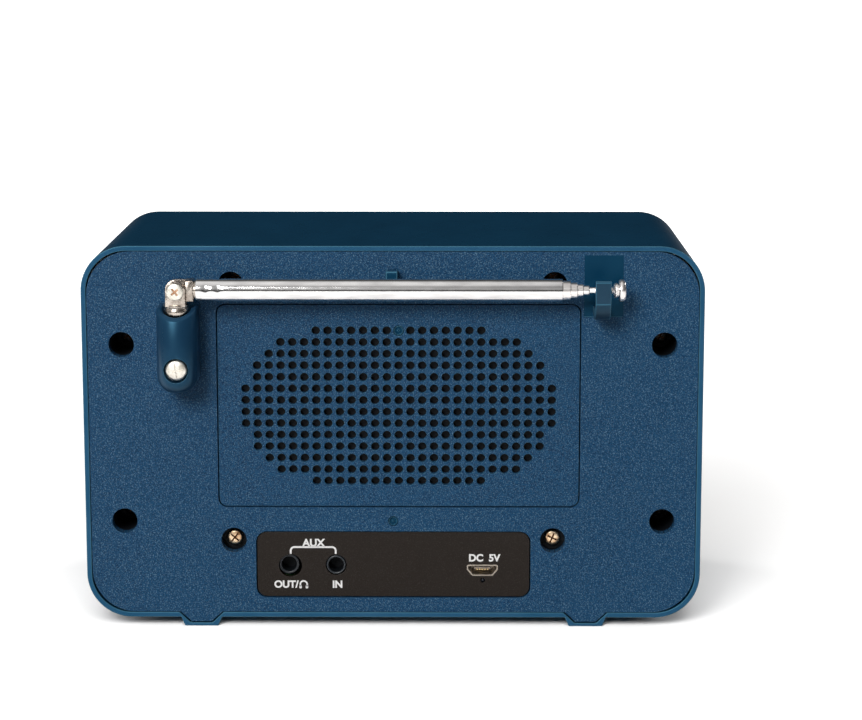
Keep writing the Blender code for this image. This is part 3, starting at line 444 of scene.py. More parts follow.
def made(name, bm, matrix=UPRIGHT):
    bmesh.ops.recalc_face_normals(bm, faces=bm.faces)
    mesh = bpy.data.meshes.new(name)
    bm.to_mesh(mesh)
    bm.free()
    mesh.transform(matrix)
    obj = bpy.data.objects.new(name, mesh)
    bpy.context.scene.collection.objects.link(obj)
    return obj


def settle(obj):
    """Makes the object's modifiers part of its mesh."""
    bpy.context.view_layer.update()
    graph = bpy.context.evaluated_depsgraph_get()
    mesh = bpy.data.meshes.new_from_object(obj.evaluated_get(graph))
    obj.modifiers.clear()
    obj.data = mesh
    return obj


def carve(obj, *tools, operation="DIFFERENCE"):
    for tool in tools:
        modifier = obj.modifiers.new(tool.name, "BOOLEAN")
        modifier.operation = operation
        modifier.object = tool
    settle(obj)
    for tool in tools:
        bpy.data.objects.remove(tool, do_unlink=True)
    bm = bmesh.new()
    bm.from_mesh(obj.data)
    bmesh.ops.dissolve_limit(bm, angle_limit=math.radians(0.5), verts=bm.verts, edges=bm.edges)
    bm.to_mesh(obj.data)
    bm.free()
    return obj


def fuse(obj, *others):
    return carve(obj, *others, operation="UNION")


def gather(obj, *others):
    """Joins the others' meshes into the object as they are."""
    for material in [m for other in others for m in other.data.materials][: 2 - len(obj.data.materials)]:
        obj.data.materials.append(material)
    bm = bmesh.new()
    bm.from_mesh(obj.data)
    for other in others:
        bm.from_mesh(other.data)
        bpy.data.objects.remove(other, do_unlink=True)
    bm.to_mesh(obj.data)
    bm.free()
    return obj


def joined(name, objects):
    """The objects as one mesh of that name."""
    whole = gather(*objects)
    whole.name = name
    return whole


def soften(obj, width, segments=3, angle=32, edge=None):
    """Rounds the sharp edges. The rounded strip takes the edge material, if there is one; where that material
    is lighter than the body, it paints a highlight along the edge.
    """
    modifier = obj.modifiers.new("bevel", "BEVEL")
    modifier.width = width
    modifier.segments = segments
    modifier.limit_method = "ANGLE"
    modifier.angle_limit = math.radians(angle)
    modifier.harden_normals = True
    if edge:
        obj.data.materials.append(None)
        obj.data.materials.append(MATERIALS[edge])
        modifier.material = 1
    obj.data.shade_smooth()
    return settle(obj)


def piece(obj, slot, *nodes, body="case", material=None, smooth=0):
    """Gives a finished piece its material and its body, and hides the nodes that it stands for."""
    if not obj.data.materials:
        obj.data.materials.append(None)
    obj.data.materials[0] = MATERIALS[material or slot]
    if smooth:
        obj.data.shade_smooth()
        obj.data.set_sharp_from_angle(angle=math.radians(smooth))
    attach(obj, body)
    if nodes:
        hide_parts(*nodes)
    return obj


def degrees(start, end, steps):
    """Angles in radians, spread evenly from start to end in degrees."""
    return [math.radians(start + (end - start) * step / steps) for step in range(steps + 1)]


def arc(x, y, radius, start, end, steps):
    """Points on an arc, with its angles in degrees."""
    return [(x + radius * math.cos(a), y + radius * math.sin(a)) for a in degrees(start, end, steps)]


def rounded(width, height, radius, x=0.0, y=0.0, steps=12):
    across, up = width / 2 - radius, height / 2 - radius
    corners = [(across, up, 0), (-across, up, 90), (-across, -up, 180), (across, -up, 270)]
    return [p for cx, cy, turn in corners for p in arc(x + cx, y + cy, radius, turn, turn + 90, steps)]


def circle(x, y, radius, steps=32):
    return arc(x, y, radius, 0, 360 * (steps - 1) / steps, steps - 1)


def slab(name, outlines, thickness, matrix=UPRIGHT):
    """A plate from XY outlines, from z = 0 down to -thickness. Outlines after the first are holes."""
    curve = bpy.data.curves.new(name, "CURVE")
    curve.dimensions = "2D"
    curve.fill_mode = "BOTH"
    curve.extrude = thickness / 2
    for outline in outlines:
        spline = curve.splines.new("POLY")
        spline.points.add(len(outline) - 1)
        for point, (x, y) in zip(spline.points, outline):
            point.co = (x, y, 0, 1)
        spline.use_cyclic_u = True
    guide = bpy.data.objects.new(name, curve)
    bpy.context.scene.collection.objects.link(guide)
    bpy.context.view_layer.update()
    graph = bpy.context.evaluated_depsgraph_get()
    mesh = bpy.data.meshes.new_from_object(guide.evaluated_get(graph))
    bpy.data.objects.remove(guide, do_unlink=True)
    bm = bmesh.new()
    bm.from_mesh(mesh)
    bmesh.ops.remove_doubles(bm, verts=bm.verts, dist=1e-6)
    bmesh.ops.dissolve_limit(bm, angle_limit=math.radians(0.5), verts=bm.verts, edges=bm.edges)
    return made(name, bm, lifted(matrix, -thickness / 2))


def block(name, low, high):
    low, high = Vector(low), Vector(high)
    bm = bmesh.new()
    bmesh.ops.create_cube(bm, size=1)
    bmesh.ops.scale(bm, vec=high - low, verts=bm.verts)
    return made(name, bm, Matrix.Translation((low + high) / 2))


def lathe(name, profile, matrix=UPRIGHT, steps=48, shape=None):
    """A solid turned about Z from (radius, height) points. shape() may change a point's radius."""
    bm = bmesh.new()
    closed = profile[0] == profile[-1]
    points = profile[:-1] if closed else profile
    rings = []
    for radius, height in points:
        if radius < 1e-9:
            rings.append([bm.verts.new((0, 0, height))])
            continue
        ring = []
        for step in range(steps):
            angle = 2 * math.pi * step / steps
            reach = shape(radius, height, angle) if shape else radius
            ring.append(bm.verts.new((reach * math.cos(angle), reach * math.sin(angle), height)))
        rings.append(ring)
    pairs = list(zip(rings, rings[1:])) + ([(rings[-1], rings[0])] if closed else [])
    for first, second in pairs:
        for step in range(steps):
            after = (step + 1) % steps
            corners = [first[step % len(first)], first[after % len(first)],
                       second[after % len(second)], second[step % len(second)]]
            distinct = list(dict.fromkeys(corners))
            if len(distinct) > 2:
                bm.faces.new(distinct)
    return made(name, bm, matrix)


def rod(name, radius, length, matrix, steps=32):
    """A plain cylinder from z = -length to z = 0."""
    return lathe(name, [(0, 0), (radius, 0), (radius, -length), (0, -length)], matrix, steps)


def writing(name, words, size, matrix, bold=0.0):
    """Raised print: a thin mesh of the words, centred, standing a little proud."""
    curve = bpy.data.curves.new(name, "FONT")
    curve.body = words
    curve.size = size
    curve.extrude = PROUD
    curve.offset = bold
    curve.align_x = "CENTER"
    curve.align_y = "CENTER"
    guide = bpy.data.objects.new(name, curve)
    bpy.context.scene.collection.objects.link(guide)
    bpy.context.view_layer.update()
    graph = bpy.context.evaluated_depsgraph_get()
    mesh = bpy.data.meshes.new_from_object(guide.evaluated_get(graph))
    bpy.data.objects.remove(guide, do_unlink=True)
    bm = bmesh.new()
    bm.from_mesh(mesh)
    bmesh.ops.remove_doubles(bm, verts=bm.verts, dist=1e-7)
    return made(name, bm, matrix)


def inked(name, outline, matrix):
    """Print in the shape of an XY outline, standing a little proud."""
    return slab(name, [outline], 2 * PROUD, lifted(matrix))


def stroke(name, points, width, matrix):
    """A printed line of even width through XY points."""
    left, right = [], []
    for index, (x, y) in enumerate(points):
        before, after = points[max(0, index - 1)], points[min(len(points) - 1, index + 1)]
        along = Vector((after[0] - before[0], after[1] - before[1])).normalized()
        side = Vector((-along.y, along.x)) * width / 2
        left.append((x + side.x, y + side.y))
        right.append((x - side.x, y - side.y))
    return inked(name, left + right[::-1], matrix)


# ---------------------------------------------------------------- case


CABINET_LOW, CABINET_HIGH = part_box("cabinet")
HALF_WIDTH = (CABINET_HIGH.x - CABINET_LOW.x) / 2
TOP = CABINET_HIGH.z
BOTTOM = 2.2 * MM
CASE_Z = (TOP + BOTTOM) / 2
REAR = 35.7 * MM
FOOT_X = 47.1 * MM
FOOT_LENGTH = 14 * MM
CORNER_STEPS = 16
FLUSH = 0.1 * MM
CORNER_GAP = 0.9 * MM


def case_outline(inset, opened=0.0):
    """The cabinet's outline, moved inwards. Its corners may be opened further."""
    width, height = 2 * (HALF_WIDTH - inset), TOP - BOTTOM - 2 * inset
    return rounded(width, height, CORNER - inset + opened, 0, CASE_Z, CORNER_STEPS)


def tongued_outline(top_width, bottom_width, floor):
    """The rear cover's outline. Its gap opens round the corners, and a tongue fills each rear foot."""
    edge = BOTTOM + RIM + FLUSH
    tongues = []
    for x in (-FOOT_X, FOOT_X):
        tongues += [(x - top_width / 2, edge), (x - bottom_width / 2, floor),
                    (x + bottom_width / 2, floor), (x + top_width / 2, edge)]
    outline = case_outline(RIM + FLUSH, CORNER_GAP)
    lower_corner_end = 3 * (CORNER_STEPS + 1)
    return outline[:lower_corner_end] + tongues + outline[lower_corner_end:]


def shifted(outline, x):
    return [(x + px, z) for px, z in outline]


def make_cabinet():
    depth = CABINET_HIGH.y - CABINET_LOW.y
    rear_edge = on_rear(0, CABINET_HIGH.y, 0)
    shell = slab("cabinet_shell", [case_outline(0), case_outline(RIM)], depth, rear_edge)
    feet = []
    foot = [(5.4 * MM, BOTTOM + 0.9 * MM), (-5.4 * MM, BOTTOM + 0.9 * MM), (-4.1 * MM, 0), (4.1 * MM, 0)]
    for x in (-FOOT_X, FOOT_X):
        for face in (CABINET_HIGH.y, CABINET_LOW.y + FOOT_LENGTH):
            feet.append(slab("foot", [shifted(foot, x)], FOOT_LENGTH, on_rear(0, face, 0)))
    fuse(shell, *feet)
    well = [(5.4 * MM, BOTTOM + RIM + 1 * MM), (5.4 * MM, BOTTOM + RIM), (2.65 * MM, 0.8 * MM),
            (-2.65 * MM, 0.8 * MM), (-5.4 * MM, BOTTOM + RIM), (-5.4 * MM, BOTTOM + RIM + 1 * MM)]
    behind = on_rear(0, CABINET_HIGH.y + 2 * MM, 0)
    carve(shell, *[slab("foot_well", [shifted(well, x)], 6 * MM, behind) for x in (-FOOT_X, FOOT_X)])
    soften(shell, 0.22 * MM, 3, edge="navy_edge_highlight")
    # The rim's rear-facing face takes a lighter navy than the rest of the gloss moulding: painted light on
    # the rim's rear face.
    shell.data.materials.append(MATERIALS["lit_rim_navy"])
    for polygon in shell.data.polygons:
        if polygon.normal.y > 0.9 and polygon.material_index == 0:
            polygon.material_index = 2
    piece(shell, "gloss_navy", "cabinet")


def make_gate_mark(name, x, y, z, radius):
    """The round plug of a moulding gate: a shallow dish with a pip, just below its surroundings."""
    dish, lip = radius * 0.72, radius * 0.84
    profile = [(0, -0.1 * MM), (0.25 * MM, -0.12 * MM), (0.32 * MM, -0.5 * MM), (0.5 * MM, -0.5 * MM),
               (dish, -0.4 * MM), (dish + 0.05 * MM, -0.02 * MM), (lip, -0.02 * MM),
               (lip + 0.04 * MM, -0.5 * MM), (radius + 0.05 * MM, -0.5 * MM), (radius + 0.05 * MM, -0.8 * MM),
               (0, -0.8 * MM)]
    mark = lathe(name, profile, on_rear(x, y, z), 40)
    soften(mark, 0.04 * MM, 2, 25, edge="navy_edge_highlight")
    piece(mark, "textured_navy", material="smooth_navy")


SCREWS = [middle(f"case_screw_{number}") for number in range(1, 9)]
WELL_RADIUS = 3.1 * MM
SEAT = (-50.7 * MM, 84.4 * MM, 9.4 * MM, 14.8 * MM)


def opening(node, corner):
    """The hole for a node that is let into the rear cover, with a seam all round."""
    box = Span(node)
    return rounded(box.size.x + 2 * SEAM, box.size.z + 2 * SEAM, corner, -box.centre.x, box.centre.z)


def make_rear_cover():
    outer = tongued_outline(10.3 * MM, 4.8 * MM, 1.1 * MM)
    gate_z, gate_radius = 26.4 * MM, 1.25 * MM
    holes = [opening("rear_grille", 2.3 * MM), opening("port_plate", 2.7 * MM)]
    holes.append(circle(0, gate_z, gate_radius))
    holes += [circle(-screw.x, screw.z, WELL_RADIUS) for screw in SCREWS]
    cover = slab("rear_cover_skin", [outer] + holes, 3 * MM, on_rear(0, REAR, 0))
    soften(cover, 0.14 * MM, 2, edge="navy_edge_highlight")
    piece(cover, "textured_navy", "rear_cover")
    rest = block("antenna_rest", (-1.3 * MM, REAR - 0.4 * MM, 81 * MM), (1.6 * MM, 39.9 * MM, 88.4 * MM))
    soften(rest, 0.35 * MM, 3, edge="navy_edge_highlight")
    piece(rest, "textured_navy", material="smooth_navy")
    make_gate_mark("cover_gate_mark", 0, REAR, gate_z, gate_radius)
    for number, screw in enumerate(SCREWS, 1):
        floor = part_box(f"case_screw_{number}")[1].y - 2.1 * MM
        depth = REAR - floor
        outer_radius = WELL_RADIUS + 0.7 * MM
        profile = [
            (WELL_RADIUS, -0.2 * MM), (WELL_RADIUS, -depth), (0, -depth), (0, -depth - 1 * MM),
            (outer_radius, -depth - 1 * MM), (outer_radius, -0.2 * MM), (WELL_RADIUS, -0.2 * MM),
        ]
        well = lathe(f"screw_well_{number}", profile, on_rear(screw.x, REAR, screw.z))
        piece(well, "textured_navy", material="well_shade", smooth=SMOOTH)


DEEP_SCREW = 8 * MM


def make_case_screws():
    for number, screw in enumerate(SCREWS, 1):
        low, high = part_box(f"case_screw_{number}")
        shallow = high.y > REAR - DEEP_SCREW
        # Screws that sit deep in their wells take a near-black copy of the screw metal instead of brass:
        # painted shade.
        make_screw(
            f"case_screw_{number}", on_rear(screw.x, high.y, screw.z), 1.85 * MM, high.y - low.y,
            0.9 * MM, "screw_brass", 20 + 17 * number, material="screw_brass" if shallow else "screw_in_shade",
        )


def cross(name, matrix, reach, arm, turn, bottom, top):
    """Two crossing bars, turned about the matrix's Z."""
    bars = []
    for quarter in (0, 90):
        bar = block(name, (-reach, -arm / 2, bottom), (reach, arm / 2, top))
        bar.data.transform(matrix @ Matrix.Rotation(math.radians(turn + quarter), 4, "Z"))
        bars.append(bar)
    return bars


def make_recess(name, obj, matrix, reach, arm, deep, turn):
    """Cuts a cross recess at the matrix's origin, and returns a sheet that lines its bottom."""
    carve(obj, *cross("recess", matrix, reach, arm, turn, -deep, 0.4 * MM))
    lining = fuse(*cross(name, matrix, reach, arm, turn, -deep - 0.1 * MM, -deep + 0.05 * MM))
    return soften(lining, 0.02 * MM, 1)


def make_screw(node, matrix, head, length, shank, slot, turn, material=None, dome=0.28 * MM, height=1.8 * MM,
               recess="recess_shade"):
    """A cross-head screw whose top is at the matrix's origin."""
    fall = 1 - math.cos(math.radians(70))
    crown = [(head * math.sin(a), -dome * (1 - math.cos(a)) / fall) for a in degrees(0, 70, 8)]
    profile = crown + [(head, -dome - 0.2 * MM), (head, -height), (shank, -height), (shank, -length + 1 * MM)]
    screw = lathe(node + "_body", profile + [(0, -length)], matrix, 40)
    # By default the sheet at the bottom of the cross is dark brown: painted shade in the recess.
    lining = make_recess(node + "_recess", screw, matrix, head * 0.68, 0.42 * MM, 0.5 * MM, turn)
    soften(screw, 0.07 * MM, 2, 40)
    piece(screw, slot, node, material=material)
    piece(lining, slot, material=recess)


HOLE_ROWS = [15, 21, 23, 25, 25, 27, 27, 27, 27, 25, 25, 23, 21, 15]
HOLE_PITCH = 2.85 * MM
HOLE_RADIUS = 1.06 * MM
GATE_RADIUS = 1.3 * MM


def make_rear_grille():
    """The perforated panel: a sheet of square cells, most with a round hole, inside a plain border."""
    box = Span("rear_grille")
    centre = box.centre
    rows, columns, quarter = len(HOLE_ROWS), max(HOLE_ROWS), HOLE_PITCH / 4
    bm = bmesh.new()
    points = {}

    def grid_point(column, row):
        """A shared vertex on the grid of quarter cells."""
        if (column, row) not in points:
            x = (column - 2 * columns) * quarter
            y = (2 * rows - row) * quarter
            points[column, row] = bm.verts.new((x, y, 0))
        return points[column, row]

    for row, count in enumerate(HOLE_ROWS):
        for column in range(columns):
            left, upper = 4 * column, 4 * row
            square = [(left + 4, upper + 2 - s) for s in range(3)]
            square += [(left + 3 - s, upper) for s in range(4)]
            square += [(left, upper + 1 + s) for s in range(4)]
            square += [(left + 1 + s, upper + 4) for s in range(4)]
            square += [(left + 4, upper + 3)]
            edge = [grid_point(*place) for place in square]
            offset = abs(column - (columns - 1) / 2)
            if offset > (count - 1) / 2:
                bm.faces.new(edge)
                continue
            gate = row == 0 and offset == 0
            radius = GATE_RADIUS if gate else HOLE_RADIUS
            x = (left + 2 - 2 * columns) * quarter
            y = (2 * rows - upper - 2) * quarter
            ring = [bm.verts.new((px, py, 0)) for px, py in circle(x, y, radius, len(edge))]
            for step in range(len(edge)):
                after = (step + 1) % len(edge)
                bm.faces.new((edge[step], edge[after], ring[after], ring[step]))
    border = [e for e in bm.edges if e.is_boundary and all(
        abs(abs(v.co.x) - 2 * columns * quarter) < 1e-7 or abs(abs(v.co.y) - 2 * rows * quarter) < 1e-7
        for v in e.verts
    )]
    outer = [bm.verts.new((x, y, 0)) for x, y in rounded(box.size.x, box.size.z, 2 * MM, 0, 0, 8)]
    rim = [bm.edges.new((outer[i], outer[(i + 1) % len(outer)])) for i in range(len(outer))]
    bmesh.ops.triangle_fill(bm, use_beauty=True, edges=border + rim)
    grille = made("rear_grille_panel", bm, on_rear(centre.x, box.high.y, centre.z))
    thickness = grille.modifiers.new("thickness", "SOLIDIFY")
    thickness.thickness = box.size.y
    thickness.offset = -1
    settle(grille)
    soften(grille, 0.11 * MM, 2, edge="navy_edge_highlight")
    piece(grille, "textured_navy", "rear_grille")
    top_row = centre.z + (rows / 2 - 0.5) * HOLE_PITCH
    make_gate_mark("grille_gate_mark", centre.x, box.high.y, top_row, GATE_RADIUS)
    # A near-black sheet behind the holes: painted shade seen through the grille.
    shade_sheet = slab("grille_shade_sheet", [rounded(80 * MM, 43 * MM, 3 * MM)], 0.3 * MM,
                 on_rear(centre.x, box.low.y - 0.6 * MM, centre.z))
    piece(shade_sheet, "speaker_paper", material="well_shade")


# ---------------------------------------------------------------- ports


def make_port_plate():
    low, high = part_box("port_plate")
    centre = (low + high) / 2
    out_jack, in_jack, usb, light = (middle(n) for n in ("out_jack", "in_jack", "usb_socket", "charge_light"))
    out_z, in_z = 15.1 * MM, 15.3 * MM
    holes = [
        circle(-out_jack.x, out_z, 2.85 * MM, 40),
        circle(-in_jack.x, in_z, 2.6 * MM, 40),
        usb_outline(-0.07 * MM),
        circle(-light.x, light.z, 0.62 * MM, 16),
    ]
    plate = slab(
        "port_plate_skin",
        [rounded(high.x - low.x, high.z - low.z, 2.4 * MM, -centre.x, centre.z)] + holes,
        high.y - low.y, on_rear(0, high.y, 0),
    )
    soften(plate, 0.12 * MM, 2, edge="brown_edge_highlight")
    piece(plate, "port_brown", "port_plate")
    jack("out_jack", out_jack.x, out_z, 2.5 * MM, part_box("out_jack")[1].y, 0.35 * MM)
    jack("in_jack", in_jack.x, in_z, 2.35 * MM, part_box("in_jack")[1].y, 0.0)
    make_usb()
    dome = [(0, -0.2 * MM), (0.3 * MM, -0.25 * MM), (0.52 * MM, -0.42 * MM),
            (0.52 * MM, -1.4 * MM), (0, -1.4 * MM)]
    face = on_rear(light.x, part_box("charge_light")[1].y, light.z)
    lens = lathe("charge_light_lens", dome, face, 24)
    piece(lens, "black_plastic", "charge_light", material="smoked_lens", smooth=50)
    make_port_print(high.y, out_jack.x, in_jack.x, usb.x)


def jack(node, x, z, radius, front, offset):
    """A socket's barrel, a ring round a deep bore lined with painted shade, with its moulded body behind."""
    low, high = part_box(node)
    bore, deep = 1.85 * MM, 5 * MM
    place = on_rear(x + offset, front, z + offset * 0.6)
    profile = [
        (bore, -0.16 * MM), (bore + 0.16 * MM, 0), (radius - 0.15 * MM, 0), (radius, -0.15 * MM),
        (radius, -deep), (bore, -deep), (bore, -0.16 * MM),
    ]
    barrel = soften(lathe(node + "_barrel", profile, place, 48), 0.09 * MM, 2, 25, edge="jack_rim_highlight")
    base = soften(block(node + "_body", low, (high.x, 29.5 * MM, high.z)), 0.2 * MM, 2)
    gather(barrel, base)
    piece(barrel, "black_plastic", node, smooth=SMOOTH)
    # A near-black sleeve inside the bore: painted shade deep in the socket.
    inner = bore - 0.02 * MM
    outer, flange = inner + 0.01 * MM, inner + 0.4 * MM
    sleeve = [(inner, -0.3 * MM), (inner, -deep), (0, -deep), (0, -deep - 0.4 * MM),
              (flange, -deep - 0.4 * MM), (flange, -deep - 0.05 * MM),
              (outer, -deep - 0.05 * MM), (outer, -0.3 * MM)]
    bore_shade = lathe(node + "_bore", sleeve + sleeve[:1], place, 48)
    piece(bore_shade, "black_plastic", material="well_shade", smooth=SMOOTH)


def usb_outline(inset):
    """The socket's outline: two round corners above, two long cut corners below."""
    box = Span("usb_socket")
    wide, tall, turn = box.size.x / 2 - inset, box.size.z / 2 - inset, 0.45 * MM - inset * 0.6
    across, up = 1.3 * MM - inset * 0.3, 1.55 * MM - inset * 0.3
    outline = arc(wide - turn, tall - turn, turn, 0, 90, 5)
    outline += arc(turn - wide, tall - turn, turn, 90, 180, 5)
    outline += [(-wide, up - tall), (across - wide, -tall), (wide - across, -tall), (wide, up - tall)]
    return [(x - box.centre.x, y + box.centre.z) for x, y in outline]


def make_usb():
    """The charging socket: a pressed shell with two cut corners, a throat painted dark as shade, and a tongue
    with contacts.
    """
    box, wall = Span("usb_socket"), 0.28 * MM
    low, high, centre = box.low, box.high, box.centre
    tube = slab("usb_shell", [usb_outline(0), usb_outline(wall)], box.size.y, on_rear(0, high.y, 0))
    soften(tube, 0.11 * MM, 2, edge="socket_steel")
    back = slab("usb_back", [usb_outline(wall * 0.5)], 0.6 * MM, on_rear(0, low.y + 0.6 * MM, 0))
    gather(tube, back)
    # The shell and its back take a darkened copy of the steel: painted shade inside the socket. The rounded
    # front edge keeps the bright steel.
    piece(tube, "socket_steel", "usb_socket", material="shaded_steel")
    tongue_low = Vector((centre.x - 1.95 * MM, low.y + 0.3 * MM, centre.z + 0.1 * MM))
    tongue_high = Vector((centre.x + 1.95 * MM, high.y - 0.35 * MM, centre.z + 0.75 * MM))
    tongue = soften(block("usb_tongue", tongue_low, tongue_high), 0.1 * MM, 2, edge="shaded_steel")
    piece(tongue, "socket_steel", material="usb_brown")
    contacts = []
    for index in range(-2, 3):
        x = centre.x + index * 0.65 * MM
        contacts.append(block(
            "usb_contacts", (x - 0.16 * MM, tongue_low.y, tongue_low.z - 0.12 * MM),
            (x + 0.16 * MM, tongue_high.y + 0.03 * MM, tongue_low.z + 0.2 * MM),
        ))
    strip = soften(joined("usb_contacts", contacts), 0.04 * MM, 2)
    piece(strip, "socket_steel", material="gold_contact")


def make_port_print(face, out_x, in_x, usb_x):
    """White print on the port plate: plain words for what each socket is."""
    def printed_at(x, z):
        return on_rear(x, face, z)

    bold = 0.1 * MM
    marks = [
        writing("print_aux", "AUX", 2.55 * MM, printed_at((out_x + in_x) / 2 - 0.1 * MM, 20.75 * MM), bold),
        writing("print_out", "OUT/", 2.45 * MM, printed_at(out_x + 1.05 * MM, 10.3 * MM), bold),
        writing("print_in", "IN", 2.45 * MM, printed_at(in_x - 0.3 * MM, 10.3 * MM), bold),
        writing("print_dc", "DC  5V", 2.45 * MM, printed_at(usb_x - 0.45 * MM, 17.0 * MM), bold),
    ]
    reach, drop, turn = 5.5 * MM, 1.7 * MM, 0.9 * MM
    bracket = [(-reach, -drop)] + arc(-reach + turn, -turn, turn, 180, 90, 6)
    bracket += arc(reach - turn, -turn, turn, 90, 0, 6) + [(reach, -drop)]
    marks.append(stroke("print_bracket", bracket, 0.46 * MM, printed_at((out_x + in_x) / 2, 19.75 * MM)))
    band, headphones = arc(0, 0, 0.85 * MM, -35, 215, 20), printed_at(out_x - 3.2 * MM, 10.35 * MM)
    marks.append(stroke("print_headband", band, 0.4 * MM, headphones))
    for side in (-1, 1):
        cup = rounded(0.62 * MM, 0.8 * MM, 0.2 * MM, side * 0.78 * MM, -0.62 * MM, 3)
        marks.append(inked("print_cup", cup, headphones))
    piece(joined("port_print", marks), "port_brown", material="white_ink")


# ---------------------------------------------------------------- antenna


PIN = middle("antenna_pin")
TUBE_1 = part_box("antenna_tube_1")
AXIS_Y, AXIS_Z = (TUBE_1[0].y + TUBE_1[1].y) / 2, (TUBE_1[0].z + TUBE_1[1].z) / 2
SWIVEL_X = PIN.x


def make_bracket():
    """Half-round housing with a rounded foot, a scooped lip and a socket that opens upwards."""
    low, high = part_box("antenna_bracket")
    outer, inner, back = (high.x - low.x) / 2, 3.5 * MM, low.y - AXIS_Y
    foot_round, lip = 4.0 * MM, 2.7 * MM
    bm = bmesh.new()

    def section(radius, rear, height, scoop=0.0):
        points = [(radius, rear)] + arc(0, 0, radius, 0, 180, 28) + [(-radius, rear)]
        return [
            bm.verts.new((x, y, height - scoop * max(0.0, y / outer) ** 1.3)) for x, y in points
        ]

    rings = []
    for step in range(9):
        angle = math.radians(90 * step / 8)
        inset = foot_round * (1 - math.sin(angle)) * 0.9
        rings.append(section(outer - inset, back, low.z + foot_round * (1 - math.cos(angle))))
    for share in (0.03, 0.2, 0.4, 0.6, 0.8, 0.97):
        start = low.z + foot_round
        rings.append(section(outer, back, start + (high.z - 3.5 * MM - start) * share))
    rings.append(section(outer, back, high.z - 0.25 * MM, lip))
    rings.append(section(outer - 0.25 * MM, back, high.z, lip))
    rings.append(section(inner + 0.2 * MM, back + 1.0 * MM, high.z, lip))
    rings.append(section(inner, back + 1.2 * MM, high.z - 0.2 * MM, lip))
    rings.append(section(inner, back + 1.2 * MM, high.z - 9 * MM))
    for first, second in zip(rings, rings[1:]):
        for step in range(len(first)):
            after = (step + 1) % len(first)
            bm.faces.new((first[step], first[after], second[after], second[step]))
    bm.faces.new(rings[0])
    bm.faces.new(rings[-1])
    bracket = made("bracket_shell", bm, at(SWIVEL_X, AXIS_Y, 0))
    screw = Span("bracket_screw")
    mouth = on_rear(SWIVEL_X, 56.4 * MM, screw.centre.z)
    carve(bracket, rod("counterbore", 2.95 * MM, 12 * MM, mouth, 40))
    soften(bracket, 0.2 * MM, 2, 50, edge="navy_edge_highlight")
    piece(bracket, "smooth_navy", "antenna_bracket", material="bracket_navy")
    make_screw(
        "bracket_screw", on_rear(SWIVEL_X, screw.high.y, screw.centre.z), 2.55 * MM, screw.size.y,
        1.2 * MM, "nickel", 12, material="pan_head", dome=0.5 * MM, height=2.3 * MM, recess="pan_head",
    )


def make_clip():
    """The hook that holds the parked antenna's neck, on its smooth pad in the rear cover."""
    x, width, thick = -49.95 * MM, 3.7 * MM, 1.6 * MM
    front, top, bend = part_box("antenna_clip")[1].y, 87.1 * MM, 6.8 * MM
    start, crease, crease_angle = REAR - 1.5 * MM, 81.6 * MM, 20
    tilt = math.radians(crease_angle)
    elbow = (front - bend * math.cos(tilt), crease + bend * math.sin(tilt))
    bottom = elbow[1] - bend * math.sin(math.radians(82))
    outline = [(start, bottom + 0.6 * MM)] + arc(*elbow, bend, -82, -crease_angle, 12)
    outline += [(front, top - 0.35 * MM), (front - 0.35 * MM, top)]
    outline += [(front - thick + 0.35 * MM, top), (front - thick, top - 0.35 * MM)]
    outline += arc(*elbow, bend - thick, -23, -82, 10) + [(start, bottom + thick + 1.0 * MM)]
    sideways = Matrix(((0, 0, 1, 0), (1, 0, 0, 0), (0, 1, 0, 0), (0, 0, 0, 1)))
    hook = slab("clip_hook", [outline], width, at(x + width / 2, 0, 0, sideways))
    soften(hook, 0.18 * MM, 3, 14, edge="navy_edge_highlight")
    piece(hook, "smooth_navy", "antenna_clip", material="clip_navy")
    pad_x, pad_z, pad_width, pad_height = SEAT
    proud_top, proud_foot, under = 0.02 * MM, 0.22 * MM, 0.4 * MM
    side = [(REAR - under, pad_z + pad_height / 2), (REAR + proud_top, pad_z + pad_height / 2),
            (REAR + proud_foot, pad_z - pad_height / 2), (REAR - under, pad_z - pad_height / 2)]
    pad = slab("clip_pad", [side], pad_width, at(pad_x + pad_width / 2, 0, 0, sideways))
    soften(pad, 0.08 * MM, 2, 40, edge="smooth_navy")
    piece(pad, "smooth_navy")
    foot = pad_z - pad_height / 2
    # A thin strip at the pad's foot in the lighter edge navy: a painted highlight along the step.
    step = block("clip_pad_step", (pad_x - pad_width / 2, REAR - under, foot - 0.12 * MM),
                 (pad_x + pad_width / 2, REAR + proud_foot - 0.02 * MM, foot + 0.02 * MM))
    soften(step, 0.05 * MM, 2)
    piece(step, "smooth_navy", material="navy_edge_highlight")


